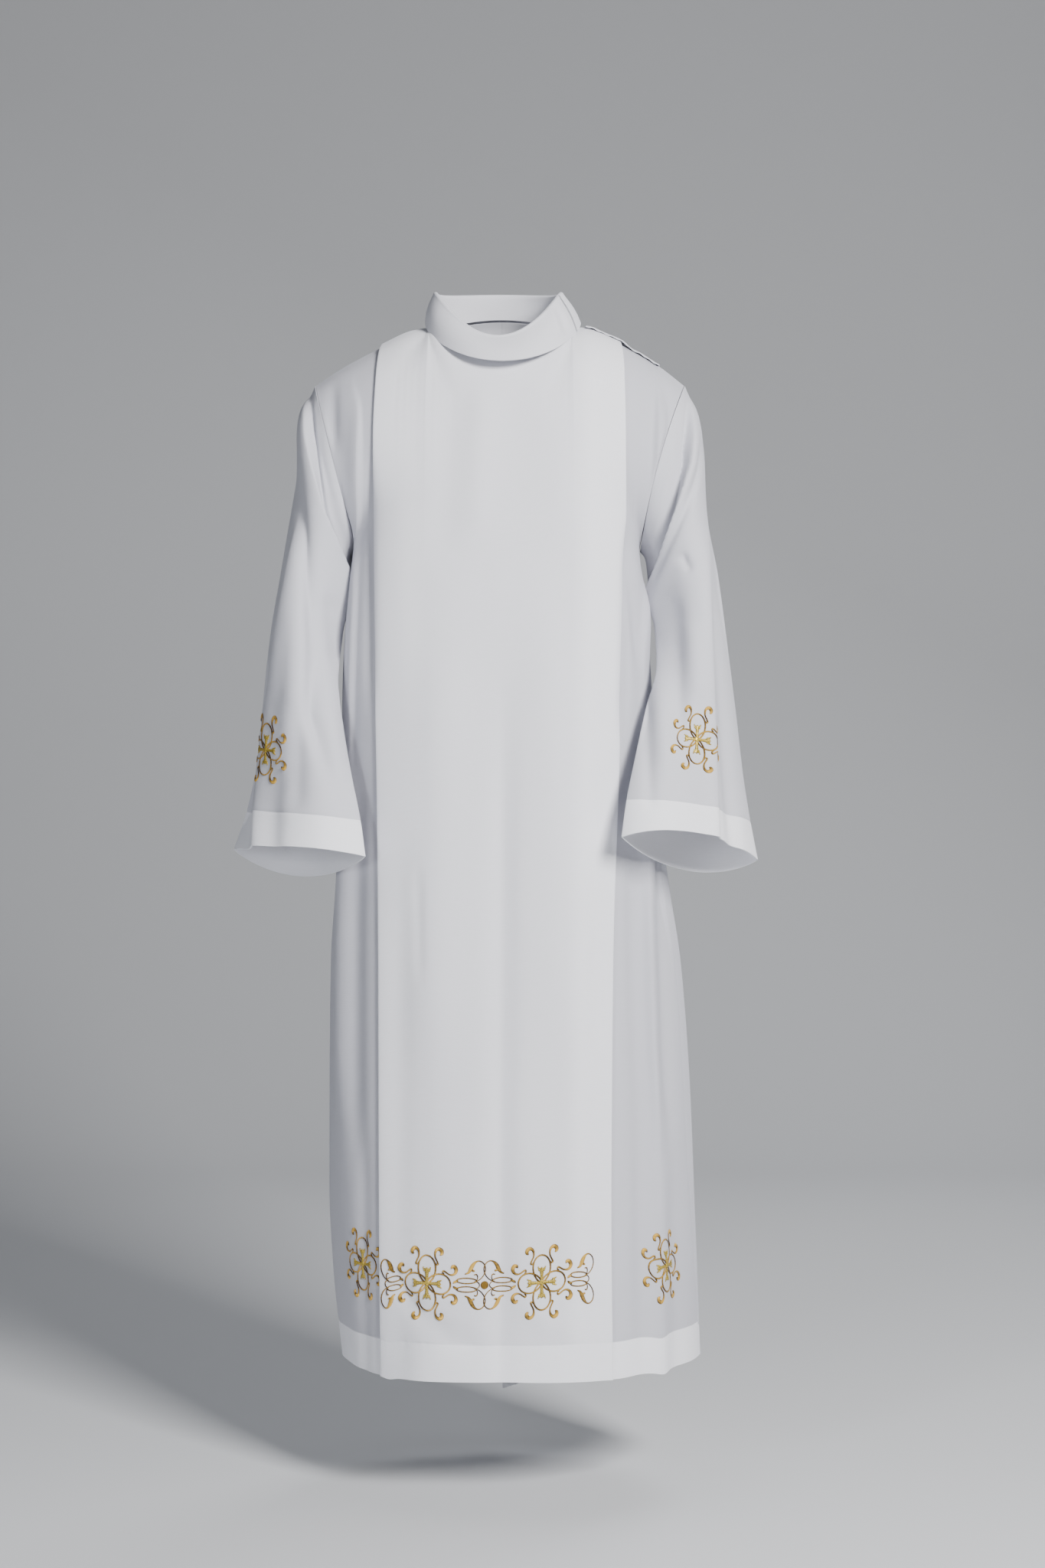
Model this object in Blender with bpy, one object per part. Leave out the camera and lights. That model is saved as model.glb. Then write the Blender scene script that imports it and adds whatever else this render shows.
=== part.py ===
"""An alb, worn and hanging: a long white robe with a turned-down collar, two front pleats and bell sleeves.

Every piece is a wall of cloth. Its middle surface is a function of two shares, across and down, worked out
from the tables below, and its two faces lie half a cloth's thickness to either side. Lengths are in millimetres
until the mesh is made. The wearer's right is at -X, the front faces -Y, and heights are given as a drop below
the origin.
"""

from collections import namedtuple

import bmesh
import bpy
import numpy as np

MM = 0.001
CLOTH = 1.0  # one layer
HEM_CLOTH = 0.8  # the turned-up layer inside a hem
HEM = 45.0
SEAM_GAP = 0.3
COLLAR_CLOTH = 1.8  # two layers and their stiffening

# The body's section at each height: side outline, front and back depth, both centre lines, squareness.
Level = namedtuple("Level", "drop right left front back middle back_middle square")
BODY = [
    Level(0, -160, 160, 92, 90, 2, 2, 2.5),
    Level(80, -182, 180, 104, 108, 2, 2, 2.6),
    Level(160, -184, 180, 113, 118, 1, 2, 2.6),
    Level(292, -184, 181, 118, 121, 0, 2, 2.65),
    Level(350, -192, 188, 121, 120, 0, 2, 2.5),
    Level(450, -202, 196, 126, 121, 0, 2, 2.4),
    Level(600, -206, 205, 134, 127, 0, 3, 2.2),
    Level(720, -212, 219, 141, 133, 0, 3, 2.1),
    Level(830, -220, 236, 148, 138, -1, 3, 2.05),
    Level(980, -222, 247, 158, 143, -2, 4, 2.0),
    Level(1120, -222, 253, 169, 146, -3, 4, 2.0),
    Level(1220, -217, 257, 178, 148, -4, 5, 2.0),
    Level(1335, -205, 261, 187, 150, -6, 5, 2.0),
]
# The angle of each side seam from the centre front, in degrees, and the pleat lines.
Line = namedtuple("Line", "drop seam_right seam_left pleat_right pleat_left")
LINES = [
    Line(0, 90, 90, -150, 154),
    Line(60, 90, 90, -157, 159),
    Line(150, 90, 90, -160, 160),
    Line(292, 90, 90, -159, 159),
    Line(450, 98, 80, -156, 154),
    Line(600, 101, 75, -153, 149),
    Line(800, 102, 73, -151, 143),
    Line(1000, 102, 73, -150, 141),
    Line(1150, 101, 76, -149, 140),
    Line(1335, 100, 82, -147, 141),
]
# The shoulder seam: drop at each distance out from the centre.
Seam = namedtuple("Seam", "out right left")
SHOULDER = [Seam(88, 2, 1), Seam(110, 6, 3), Seam(150, 24, 18), Seam(205, 52, 48), Seam(242, 76, 76)]
# How far forward the cloth has rolled, as a share, at each depth below the shoulder seam.
Roll = namedtuple("Roll", "below share")
ROLL = [
    Roll(0, 0),
    Roll(10, 0.28),
    Roll(25, 0.46),
    Roll(55, 0.65),
    Roll(100, 0.79),
    Roll(150, 0.88),
    Roll(220, 0.955),
    Roll(320, 1),
]
# The armhole, a slanting egg: its tip on the shoulder, its lowest point, and how far its front leans inwards.
Armhole = namedtuple("Armhole", "tip_x tip_drop base_x base_drop lean")
ARMHOLES = {"right": Armhole(-240, 76, -184, 292, 0), "left": Armhole(240, 76, 181, 292, -7)}
ARMHOLE_FRONT, ARMHOLE_BACK = 0.72, 0.74  # its depth as a share of the body's
SIDES = {"right": -1, "left": 1}
SIDE_HEM_DROP = 1333
FRONT_HEM_DROP = 1337
BACK_HEM_DROP = {"right": 1401, "left": 1418}  # at the vent
NECK_HALF, NECK_FRONT, NECK_BACK = 90, 70, 66
NECK_FRONT_DROP, NECK_SIDE_DROP, NECK_BACK_DROP = 48, 2, -20
NECK_MIDDLE = 2

# The pleats: cloth folded in under the centre panel, three layers with room between.
UNDERLAY = 38
UNDERLAY_STEPS = (0.33, 0.67)
LAYER = 2.1
PLEAT_SCALE = 154  # mm across for one step of the front's share
CENTRE_LIFT = (0.50, 0.745)  # shares between which the centre panel comes down to the body

# The sleeves' rings: outer pressed line, underarm line, depth in front and behind, lift of the cuff.
Ring = namedtuple("Ring", "share out_x out_y out_drop in_x in_y in_drop front back crease lift sag")
SLEEVES = {
    "right": [
        Ring(0.00, -240, 0, 76, -184, 0, 292, 66, 68, 0.50, 0, 0),
        Ring(0.07, -256, 0, 118, -191, -2, 302, 67, 72, 0.50, 0, 0),
        Ring(0.15, -261, 0, 170, -195, -5, 322, 68, 76, 0.52, 0, 0),
        Ring(0.25, -271, -3, 235, -198, -12, 352, 69, 80, 0.55, 0, 0),
        Ring(0.37, -285, -7, 320, -204, -25, 402, 68, 84, 0.60, 0, 0),
        Ring(0.50, -300, -14, 415, -208, -52, 460, 62, 84, 0.66, 0, 0),
        Ring(0.63, -308, -21, 500, -199, -76, 525, 57, 80, 0.72, 0, 0),
        Ring(0.76, -315, -28, 572, -187, -104, 585, 54, 74, 0.78, 0, 2),
        Ring(0.88, -327, -33, 630, -175, -120, 640, 58, 68, 0.82, 4, 12),
        Ring(1.00, -343, -38, 679, -168, -134, 685, 60, 64, 0.85, 10, 32),
    ],
    "left": [
        Ring(0.00, 240, 0, 76, 181, 0, 292, 66, 68, 0.50, 0, 0),
        Ring(0.07, 257, 0, 120, 188, -2, 301, 67, 72, 0.50, 0, 0),
        Ring(0.15, 266, 0, 172, 192, -5, 320, 68, 76, 0.52, 0, 0),
        Ring(0.25, 269, -3, 238, 195, -12, 350, 69, 80, 0.55, 0, 0),
        Ring(0.37, 284, -7, 323, 201, -25, 392, 68, 84, 0.60, 0, 0),
        Ring(0.50, 297, -14, 425, 203, -54, 442, 62, 84, 0.66, 0, 0),
        Ring(0.63, 307, -21, 510, 188, -88, 494, 56, 80, 0.72, 0, 0),
        Ring(0.76, 315, -28, 584, 172, -122, 560, 52, 74, 0.78, 2, 2),
        Ring(0.88, 324, -33, 643, 160, -147, 614, 50, 68, 0.82, 10, 12),
        Ring(1.00, 333, -38, 692, 153, -162, 660, 52, 64, 0.85, 22, 30),
    ],
}
UNDERARM_FOLD = 0.9  # how sharply a sleeve is folded along its underarm line: 0.5 is round, 1 is a fold
ARMHOLE_REACH = 0.22  # the share of a sleeve over which it leaves its armhole's shape
# Folds: a soft ridge (plus) or trough (minus) from one place to another, in the piece's own shares.
Fold = namedtuple("Fold", "across1 down1 across2 down2 wide high")
SLEEVE_FOLDS = {
    "right": [
        Fold(0.16, 0.05, 0.86, 0.52, 17, -7),
        Fold(0.32, 0.10, 0.97, 0.44, 20, 6),
        Fold(0.12, 0.12, 0.40, 0.66, 22, -5),
        Fold(0.62, 0.50, 0.80, 0.74, 20, -5),
        Fold(-0.50, 0.20, -0.80, 0.62, 24, -7),
        Fold(-0.30, 0.40, -0.52, 0.86, 26, 6),
    ],
    "left": [
        Fold(0.14, 0.07, 0.90, 0.50, 15, -8),
        Fold(0.24, 0.09, 0.98, 0.54, 17, 7),
        Fold(0.34, 0.12, 0.86, 0.36, 18, -5),
        Fold(0.10, 0.20, 0.20, 0.66, 24, -4),
        Fold(-0.46, 0.22, -0.82, 0.58, 24, -7),
        Fold(-0.26, 0.42, -0.50, 0.88, 26, 6),
    ],
}
# On the body a fold's share across runs from the centre, 0, over the pleat line, 1, to the side seam, 2.
FRONT_FOLDS = [
    Fold(0.00, 0.34, -0.02, 1.00, 30, -5),
    Fold(-0.66, 0.40, -0.60, 1.00, 46, 3),
    Fold(0.52, 0.30, 0.60, 1.00, 52, 3),
    Fold(-1.30, 0.10, -1.36, 0.96, 20, -6),
    Fold(-1.62, 0.16, -1.66, 1.04, 26, 5),
    Fold(1.26, 0.18, 1.22, 1.05, 22, -9),
    Fold(1.52, 0.46, 1.60, 1.05, 24, 9),
    Fold(1.80, 0.42, 1.84, 1.05, 18, -5),
]
# On a back half it runs from the centre, 0, to the side seam, 1.
BACK_FOLDS = {
    "right": [
        Fold(0.16, 0.10, 0.20, 1.05, 28, 6),
        Fold(0.42, 0.16, 0.46, 1.05, 30, -9),
        Fold(0.72, 0.14, 0.74, 1.05, 28, 8),
    ],
    "left": [
        Fold(0.20, 0.12, 0.24, 1.05, 30, -8),
        Fold(0.50, 0.12, 0.52, 1.05, 30, 8),
        Fold(0.78, 0.16, 0.80, 1.05, 26, -8),
    ],
}

# The collar's rings: half width, front and back depth, drop in front, at the side and behind, middle, curve.
Neck = namedtuple("Neck", "half front back front_drop side_drop back_drop middle curve")
NECK_DROPS = (NECK_FRONT_DROP, NECK_SIDE_DROP, NECK_BACK_DROP)
COLLAR_SEAM = Neck(NECK_HALF, NECK_FRONT, NECK_BACK, *NECK_DROPS, NECK_MIDDLE, 1.9)
COLLAR_FOLD = Neck(82, 74, 64, 21, -47, -56, -2, 1.9)
COLLAR_EDGE = Neck(101, 98, 88, 57, -8, -18, 4, 1.2)
COLLAR_RISE = 2.6  # how far its seam stands above the body's neck edge
COLLAR_BEND = 2.4  # radius of the turned edge
COLLAR_ENDS = (66, -288)  # degrees round from the centre front; it opens over the wearer's left shoulder

# The strip over the fastening: where it runs on the shoulder, and how far it lies forward and back.
STRIP_FROM, STRIP_TO, STRIP_FRONT, STRIP_BACK = 112, 208, 8, 15

ARM_STEPS = 12
BODY_DOWN = [0.21, 0.26, 0.32, 0.39, 0.46, 0.54, 0.62, 0.70, 0.78, 0.85, 0.91]
CUFF_SHARE = 0.88  # where a sleeve's hem starts, 45 mm above the cuff's edge
SLEEVE_DOWN = [0, 0.035, 0.075, 0.12, 0.17, 0.23, 0.30, 0.37, 0.44, 0.51, 0.58, 0.65, 0.72, 0.79, 0.86]
ARMHOLE = ARMHOLES["right"]
UNDERARM = (ARMHOLE.base_drop - ARMHOLE.tip_drop) / (SIDE_HEM_DROP - ARMHOLE.tip_drop)

# Mm for one step of a share: the front's beyond its pleat, the backs', a sleeve's, and downwards.
SIDE_SCALE, BACK_SEAM_SCALE, BACK_SCALE, SLEEVE_SCALE = 100, 270, 400, 230
BODY_LENGTH, SLEEVE_LENGTH = 1300, 650

Row = namedtuple("Row", "half middle end square")


def column(rows, name):
    """One named column of a table."""
    return np.array([getattr(row, name) for row in rows], float)


def along(rows, name, at, key="drop"):
    """A column's value between the rows, on a smooth curve that never overshoots them."""
    levels, values = column(rows, key), column(rows, name)
    steps = np.diff(values) / np.diff(levels)
    slopes = np.concatenate([steps[:1], np.zeros(len(steps) - 1), steps[-1:]])
    same_way = steps[:-1] * steps[1:] > 0
    safe = np.where(same_way, steps[:-1] + steps[1:], 1)
    slopes[1:-1] = np.where(same_way, 2 * steps[:-1] * steps[1:] / safe, 0)
    at = np.clip(at, levels[0], levels[-1])
    i = np.clip(np.searchsorted(levels, at, side="right") - 1, 0, len(levels) - 2)
    gap = levels[i + 1] - levels[i]
    t = (at - levels[i]) / gap
    start = values[i] * (1 + 2 * t) * (1 - t) ** 2 + slopes[i] * gap * t * (1 - t) ** 2
    return start + values[i + 1] * t * t * (3 - 2 * t) + slopes[i + 1] * gap * t * t * (t - 1)


def smooth(t):
    """A soft step from 0 to 1."""
    t = np.clip(t, 0, 1)
    return t * t * (3 - 2 * t)


def stack(x, y, drop):
    """Points from their three parts."""
    return np.stack(np.broadcast_arrays(x, y, -np.asarray(drop, float)), axis=-1)


def neck_point(ring, turn):
    """A point of a neck ring, turn degrees round from the centre front to the wearer's left."""
    turn = np.radians(turn)
    fore = np.cos(turn)
    depth = np.where(fore > 0, ring.front, ring.back)
    end_drop = np.where(fore > 0, ring.front_drop, ring.back_drop)
    drop = ring.side_drop + (end_drop - ring.side_drop) * np.abs(fore) ** ring.curve
    return stack(ring.middle + ring.half * np.sin(turn), -depth * fore, drop)


def top_edge(x, side, back):
    """The body's upper edge above x: the y and drop of the neck ring, or of the shoulder seam beyond it."""
    out = np.abs(x - NECK_MIDDLE)
    in_neck = out < NECK_HALF
    turn = np.degrees(np.arcsin(np.clip(out / NECK_HALF, 0, 1)))
    ring = neck_point(COLLAR_SEAM, 180 - turn if back else turn)
    y = np.where(in_neck, ring[..., 1], 0)
    drop = np.where(in_neck, -ring[..., 2], along(SHOULDER, side, np.abs(x), "out"))
    return y, drop


def side_drop(side, down):
    """The drop at the body's side for a share down."""
    tip = ARMHOLES[side].tip_drop
    return tip + (SIDE_HEM_DROP - tip) * down


def section(side, down, depth, fore):
    """A row's half width, middle, squareness, and the angle where it ends at the armhole or side seam."""
    hole, drop = ARMHOLES[side], side_drop(side, down)
    share = np.clip((drop - hole.tip_drop) / (hole.base_drop - hole.tip_drop), 0, 1)
    lean = hole.lean * 4 * share * (1 - share) if fore else 0
    edge_x = hole.tip_x + (hole.base_x - hole.tip_x) * share + lean
    square = along(BODY, "square", drop)
    hole_end = np.degrees(np.arccos((depth * (1 - share**5)) ** (square / 2)))
    middle = along(BODY, "middle" if fore else "back_middle", drop)
    seam = along(LINES, "seam_" + side, drop)
    in_hole = share < 1
    end = np.where(in_hole, hole_end, seam if fore else 180 - seam)
    edge_half = (edge_x - middle) / np.sin(np.radians(end)) ** (2 / square)
    half = np.where(in_hole, edge_half, along(BODY, side, drop) - middle)
    return Row(half, middle, end, square)


def angle_of(row, x):
    """The angle at which a row's outline passes x."""
    return np.degrees(np.arcsin(np.clip((x - row.middle) / row.half, 0, 1) ** (row.square / 2)))


def outline(row, angle, drop, fore):
    """x and full y of a row's outline at an angle from the centre of the front, or of the back."""
    sine, cosine = np.sin(np.radians(angle)), np.cos(np.radians(angle))
    other = along(BODY, "back_middle" if fore else "middle", drop)
    wide, deep = sine ** (2 / row.square), np.abs(cosine) ** (2 / row.square)
    x = np.where(cosine >= 0, row.middle + row.half * wide, other + (row.middle + row.half - other) * wide)
    front, back = along(BODY, "front", drop), along(BODY, "back", drop)
    ahead, behind = (front, back) if fore else (back, front)
    y = -np.sign(cosine) * deep * np.where(cosine >= 0, ahead, behind)
    return x, y if fore else -y


def fold_height(folds, across, down, scale_across, scale_down):
    """How far the folds raise the cloth here."""
    high = 0.0
    for fold in folds:
        a1, d1 = fold.across1 * scale_across, fold.down1 * scale_down
        a2, d2 = fold.across2 * scale_across, fold.down2 * scale_down
        length = (a2 - a1) ** 2 + (d2 - d1) ** 2
        a, d = across * scale_across, down * scale_down
        t = ((a - a1) * (a2 - a1) + (d - d1) * (d2 - d1)) / length
        near = np.clip(t, 0, 1)
        off = (a - a1 - near * (a2 - a1)) ** 2 + (d - d1 - near * (d2 - d1)) ** 2
        fade = smooth(t / 0.3 + 0.3) * smooth((1 - t) / 0.3 + 0.3)
        high = high + fold.high * fade * np.exp(-off / fold.wide**2)
    return high


def front_half(side, share, down):
    """Half of the front's lay. share is 0 on the centre line, 1 on the pleat line and 2 at the side."""
    row = section(side, down, ARMHOLE_FRONT, True)
    top_row = section(side, np.zeros_like(down), ARMHOLE_FRONT, True)
    top_pleat = along(LINES, "pleat_" + side, 0)
    _, pleat_top = top_edge(top_pleat, side, False)
    pleat = along(LINES, "pleat_" + side, pleat_top + (FRONT_HEM_DROP - pleat_top) * down)

    def angle(row, pleat):
        in_centre = angle_of(row, row.middle + (pleat - row.middle) * share)
        pleat_angle = angle_of(row, pleat)
        return np.where(share <= 1, in_centre, pleat_angle + (row.end - pleat_angle) * (share - 1))

    x0, _ = outline(top_row, angle(top_row, top_pleat), side_drop(side, 0), True)
    y0, drop0 = top_edge(x0, side, False)
    hem = FRONT_HEM_DROP + (SIDE_HEM_DROP - FRONT_HEM_DROP) * smooth(share - 1)
    drop = drop0 + (hem - drop0) * down
    x, y = outline(row, angle(row, pleat), drop, True)
    return stack(x, y0 + (y - y0) * along(ROLL, "share", drop - drop0, "below"), drop)


def front_lay(share, down):
    """The front's lay. share runs from -2 at the right side over -1 and 1, the pleat lines, to 2."""
    share, down = np.broadcast_arrays(np.asarray(share, float), np.asarray(down, float))
    right, left = front_half("right", np.abs(share), down), front_half("left", np.abs(share), down)
    return np.where((share < 0)[..., None], right, left)


def back_half(side, share, down):
    """Half of the back's lay. share is 0 on the centre line and 1 at the side."""
    share, down = np.broadcast_arrays(np.asarray(share, float), np.asarray(down, float))
    row = section(side, down, ARMHOLE_BACK, False)
    top_row = section(side, np.zeros_like(down), ARMHOLE_BACK, False)
    x0, _ = outline(top_row, top_row.end * np.maximum(share, 0), side_drop(side, 0), False)
    y0, drop0 = top_edge(x0, side, True)
    hem = SIDE_HEM_DROP + (BACK_HEM_DROP[side] - SIDE_HEM_DROP) * (1 - np.clip(share, 0, 1) ** 0.8)
    drop = drop0 + (hem - drop0) * down
    x, y = outline(row, row.end * np.maximum(share, 0), drop, False)
    return stack(x, y0 + (y - y0) * along(ROLL, "share", drop - drop0, "below"), drop)


def normals(surface, across, down, turn):
    """Unit normals of a surface at its grid of shares; turn is 1 or -1 to make them point out."""
    step, step_down = 0.01, 0.004
    d_across = surface(across + step, down) - surface(across - step, down)
    lower, upper = np.minimum(down + step_down, 1), np.maximum(down - step_down, 0)
    d_down = surface(across, lower) - surface(across, upper)
    n = turn * np.cross(d_across, d_down)
    return n / np.maximum(np.linalg.norm(n, axis=-1, keepdims=True), 1e-12)


def underarm_straight(n, at_underarm, way):
    """Where the side seam starts, under the arm, both of its edges face straight out to the side."""
    return np.where(at_underarm[..., None], np.array([way, 0.0, 0.0]), n)


def centre_lift(share):
    """How far the centre panel stands above the lay, over the cloth of its pleats."""
    return 2 * LAYER * smooth((np.abs(share) - CENTRE_LIFT[0]) / (CENTRE_LIFT[1] - CENTRE_LIFT[0]))


def upright_seam(n, at_seam):
    """At a seam over the shoulder the wall's edge stands in the seam's own plane."""
    level = np.where(at_seam[..., None], n * np.array([1, 0, 1]), n)
    return level / np.linalg.norm(level, axis=-1, keepdims=True)


def hem_rows(down, hem_share):
    """The shares down with the hem's step put in, and the extra cloth inside each row."""
    step = 0.0004
    rows = np.array(down + [hem_share - step, hem_share + step, 1.0])
    return rows, np.where(rows > hem_share, HEM_CLOTH, 0.0)


def make_piece(name, colour, inner, outer, tube=False):
    """One closed wall of cloth between two grids of points, [down, across, xyz] in millimetres."""
    rows, columns = inner.shape[:2]
    bm = bmesh.new()
    bmesh.ops.create_grid(bm, x_segments=columns - 1, y_segments=rows - 1, size=1)
    spot = bm.verts.layers.int.new("spot")
    bm.verts.ensure_lookup_table()
    for vert in bm.verts:
        row = round((vert.co.y + 1) / 2 * (rows - 1))
        col = round((vert.co.x + 1) / 2 * (columns - 1))
        vert[spot] = row * columns + (0 if tube and col == columns - 1 else col)
    bmesh.ops.triangulate(bm, faces=bm.faces[:], quad_method="FIXED")
    for vert in bm.verts:
        vert.co = inner[divmod(vert[spot], columns)] * MM
    if tube:
        bmesh.ops.remove_doubles(bm, verts=bm.verts[:], dist=1e-6)
    copy = bmesh.ops.extrude_face_region(bm, geom=bm.faces[:], use_keep_orig=True)
    for vert in copy["geom"]:
        if isinstance(vert, bmesh.types.BMVert):
            vert.co = outer[divmod(vert[spot], columns)] * MM
    bmesh.ops.recalc_face_normals(bm, faces=bm.faces[:])
    mesh = bpy.data.meshes.new(name)
    bm.to_mesh(mesh)
    bm.free()
    mesh.shade_smooth()
    mesh.set_sharp_from_angle(angle=np.radians(50))
    piece = bpy.data.objects.new(name, mesh)
    bpy.context.collection.objects.link(piece)
    material = bpy.data.materials.new(name + "_cloth")
    material.use_nodes = True
    shader = material.node_tree.nodes["Principled BSDF"]
    shader.inputs["Base Color"].default_value = colour
    shader.inputs["Roughness"].default_value = 0.8
    shader.inputs["Metallic"].default_value = 0.0
    mesh.materials.append(material)
    return piece


WHITE = (0.83, 0.83, 0.86, 1)
SOFT_WHITE = (0.76, 0.76, 0.80, 1)


def body_rows():
    """Shares down the body: even steps round the armhole, then the long fall to the hem."""
    turn = np.linspace(0, np.pi, ARM_STEPS + 1)
    return list(UNDERARM * (1 - np.cos(turn)) / 2) + BODY_DOWN


def pleat_way():
    """The front's way across, from the right edge to the centre: shares, and heights above the lay."""
    bend = LAYER / 2 / PLEAT_SCALE
    under = 1 - UNDERLAY / PLEAT_SCALE
    between = [1 - UNDERLAY / PLEAT_SCALE * t for t in UNDERLAY_STEPS]
    share = list(np.linspace(2, 1, 8)) + between
    height = [0.0] * len(share)
    for turn in np.radians([-90, -30, 30, 90]):
        share.append(under - bend * np.cos(turn))
        height.append(LAYER / 2 + LAYER / 2 * np.sin(turn))
    share += between[::-1]
    height += [LAYER] * len(between)
    for turn in np.radians([-90, -30, 30, 90]):
        share.append(1 - bend + bend * np.cos(turn))
        height.append(1.5 * LAYER + LAYER / 2 * np.sin(turn))
    return share, height


def centre_columns():
    """Shares across the centre panel, over its neck edge and its two bits of shoulder, less its folds."""
    pleats = {side: along(LINES, "pleat_" + side, 0) for side in SIDES}
    columns = []
    for turn in range(-90, 91, 15):
        x = NECK_MIDDLE + NECK_HALF * np.sin(np.radians(turn))
        middle = along(BODY, "middle", 76)
        pleat = pleats["left" if turn > 0 else "right"]
        columns.append((x - middle) / abs(pleat - middle))
    ends = [0.64, 0.69, 0.74] + [1 - UNDERLAY / PLEAT_SCALE * t for t in reversed(UNDERLAY_STEPS)]
    return [-e for e in reversed(ends)] + columns + ends


def front():
    """The front in one piece, its pleats folded in under the centre panel."""
    share, height = pleat_way()
    centre = centre_columns()
    lift = list(centre_lift(centre))
    across = np.array([-s for s in share] + centre + share[::-1]) * PLEAT_SCALE
    height = np.array(height + lift + height[::-1])
    run = np.gradient(np.stack([across, height], axis=-1), axis=0)
    for i in (0, -1):
        run[i] = (1, 0)
    run /= np.linalg.norm(run, axis=-1, keepdims=True)
    facing = np.stack([-run[:, 1], run[:, 0]], axis=-1)
    down, extra = hem_rows(body_rows(), 1 - HEM / BODY_LENGTH)
    visible = (np.abs(height) < 0.01) & (np.abs(across) > PLEAT_SCALE * 0.99)
    visible |= np.abs(across) < PLEAT_SCALE * 0.72
    faces = []
    for distance in (-1, 1):
        reach = CLOTH / 2 + extra[:, None] * visible[None, :] * (distance < 0)
        shift_across = distance * reach * facing[None, :, 0]
        shift_high = distance * reach * facing[None, :, 1]
        s = (across[None, :] + shift_across) / PLEAT_SCALE
        s = np.clip(s, -2, 2)
        s = np.where(np.abs(s) > 1.9999, np.sign(s) * (2 - SEAM_GAP / 2 / SIDE_SCALE), s)
        d = np.broadcast_to(down[:, None], s.shape)
        n = normals(front_lay, s, d, -1)
        n = upright_seam(n, (d == 0) & (np.abs(s) > 0.6))
        for way in (-1, 1):
            n = underarm_straight(n, (np.abs(d - UNDERARM) < 1e-6) & (s * way > 1.99), way)
        lay = front_lay(s, d)
        folds = fold_height(FRONT_FOLDS, s, d, PLEAT_SCALE, BODY_LENGTH) * smooth(d / 0.08)
        folds = folds * smooth((2 - np.abs(s)) / 0.12)
        points = lay + n * (height[None, :] + shift_high + folds)[..., None]
        points[0, :, 1] = np.where(np.abs(s[0]) > 0.6, -SEAM_GAP / 2, points[0, :, 1])
        faces.append(points)
    return make_piece("front", WHITE, faces[0], faces[1])


def back(side):
    """One half of the back, from the centre seam to the side."""
    top_row = section(side, np.zeros(1), ARMHOLE_BACK, False)
    neck = [NECK_MIDDLE + SIDES[side] * NECK_HALF * np.sin(np.radians(turn)) for turn in range(0, 91, 15)]
    share = [float(angle_of(top_row, x)[0] / top_row.end[0]) for x in neck]
    share = np.array([0.0] + share[1:] + list(np.linspace(share[-1], 1, 8))[1:])
    share[0] = SEAM_GAP / 2 / BACK_SEAM_SCALE
    share[-1] = 1 - SEAM_GAP / 2 / BACK_SEAM_SCALE
    down, extra = hem_rows(body_rows(), 1 - HEM / (BACK_HEM_DROP[side] + 10))
    s, d = np.meshgrid(share, down)

    def surface(s, d):
        return back_half(side, s, d)

    n = upright_seam(normals(surface, s, d, SIDES[side]), (d == 0) & (s >= share[6] - 1e-6))
    n = underarm_straight(n, (np.abs(d - UNDERARM) < 1e-6) & (s > 0.99), SIDES[side])
    n[:, 0] = n[:, 0] * np.array([0, 1, 1])
    n /= np.linalg.norm(n, axis=-1, keepdims=True)
    folds = fold_height(BACK_FOLDS[side], s, d, BACK_SCALE, BODY_LENGTH) * smooth(d / 0.10)
    folds = (folds * smooth(s / 0.10) * smooth((1 - s) / 0.12))[..., None]
    lay = surface(s, d)
    lay[:, 0, 0] = NECK_MIDDLE + SIDES[side] * SEAM_GAP / 2
    inner, outer = lay + n * (folds - CLOTH / 2 - extra[:, None, None]), lay + n * (folds + CLOTH / 2)
    for face in (inner, outer):
        face[0, 6:, 1] = SEAM_GAP / 2
    return make_piece("back_" + side, SOFT_WHITE, inner, outer)


def armhole_ring(side, turn):
    """The armhole's own point, turn running from -1 over 0 at the tip to 1 round its front."""
    share = (1 - np.cos(np.pi * np.abs(turn))) / 2
    down = np.minimum(UNDERARM * share, UNDERARM - 1e-9)
    fore = front_half(side, np.full_like(down, 2.0), down)
    aft = back_half(side, np.full_like(down, 1.0), down)
    ring = np.where((turn > 0)[..., None], fore, aft)
    toward_tip = np.cos(np.pi * turn)
    ease = 0.5 + 0.6 * np.maximum(toward_tip, 0) ** 2 + 1.7 * np.maximum(-toward_tip, 0) ** 2
    ring[..., 0] += SIDES[side] * ease
    return ring


def sleeve_surface(side, turn, down):
    """A sleeve's middle surface. turn is 0 on the outer line, 1 and -1 under the arm, plus in front."""
    rows = SLEEVES[side]
    turn, down = np.broadcast_arrays(np.asarray(turn, float), np.asarray(down, float))
    turn = (turn + 1) % 2 - 1
    inward = (1 - np.cos(np.pi * turn)) / 2

    def ring(down_is):
        def at(name):
            return along(rows, name, down_is, "share")

        outer = stack(at("out_x"), at("out_y"), at("out_drop"))
        inner = stack(at("in_x"), at("in_y"), at("in_drop"))
        crease = at("crease")
        peak = crease / (crease + UNDERARM_FOLD)
        widest = peak**crease * (1 - peak) ** UNDERARM_FOLD
        bulge = inward**crease * (1 - inward) ** UNDERARM_FOLD / widest
        depth = np.where(turn > 0, -at("front"), at("back"))
        rise = np.where(turn > 0, at("lift"), -at("sag"))
        points = outer + (inner - outer) * inward[..., None]
        points[..., 1] += depth * bulge
        points[..., 2] += rise * bulge
        return points

    start = armhole_ring(side, turn) - ring(np.zeros_like(down))
    return ring(down) + start * (1 - smooth(down / ARMHOLE_REACH))[..., None]


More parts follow.
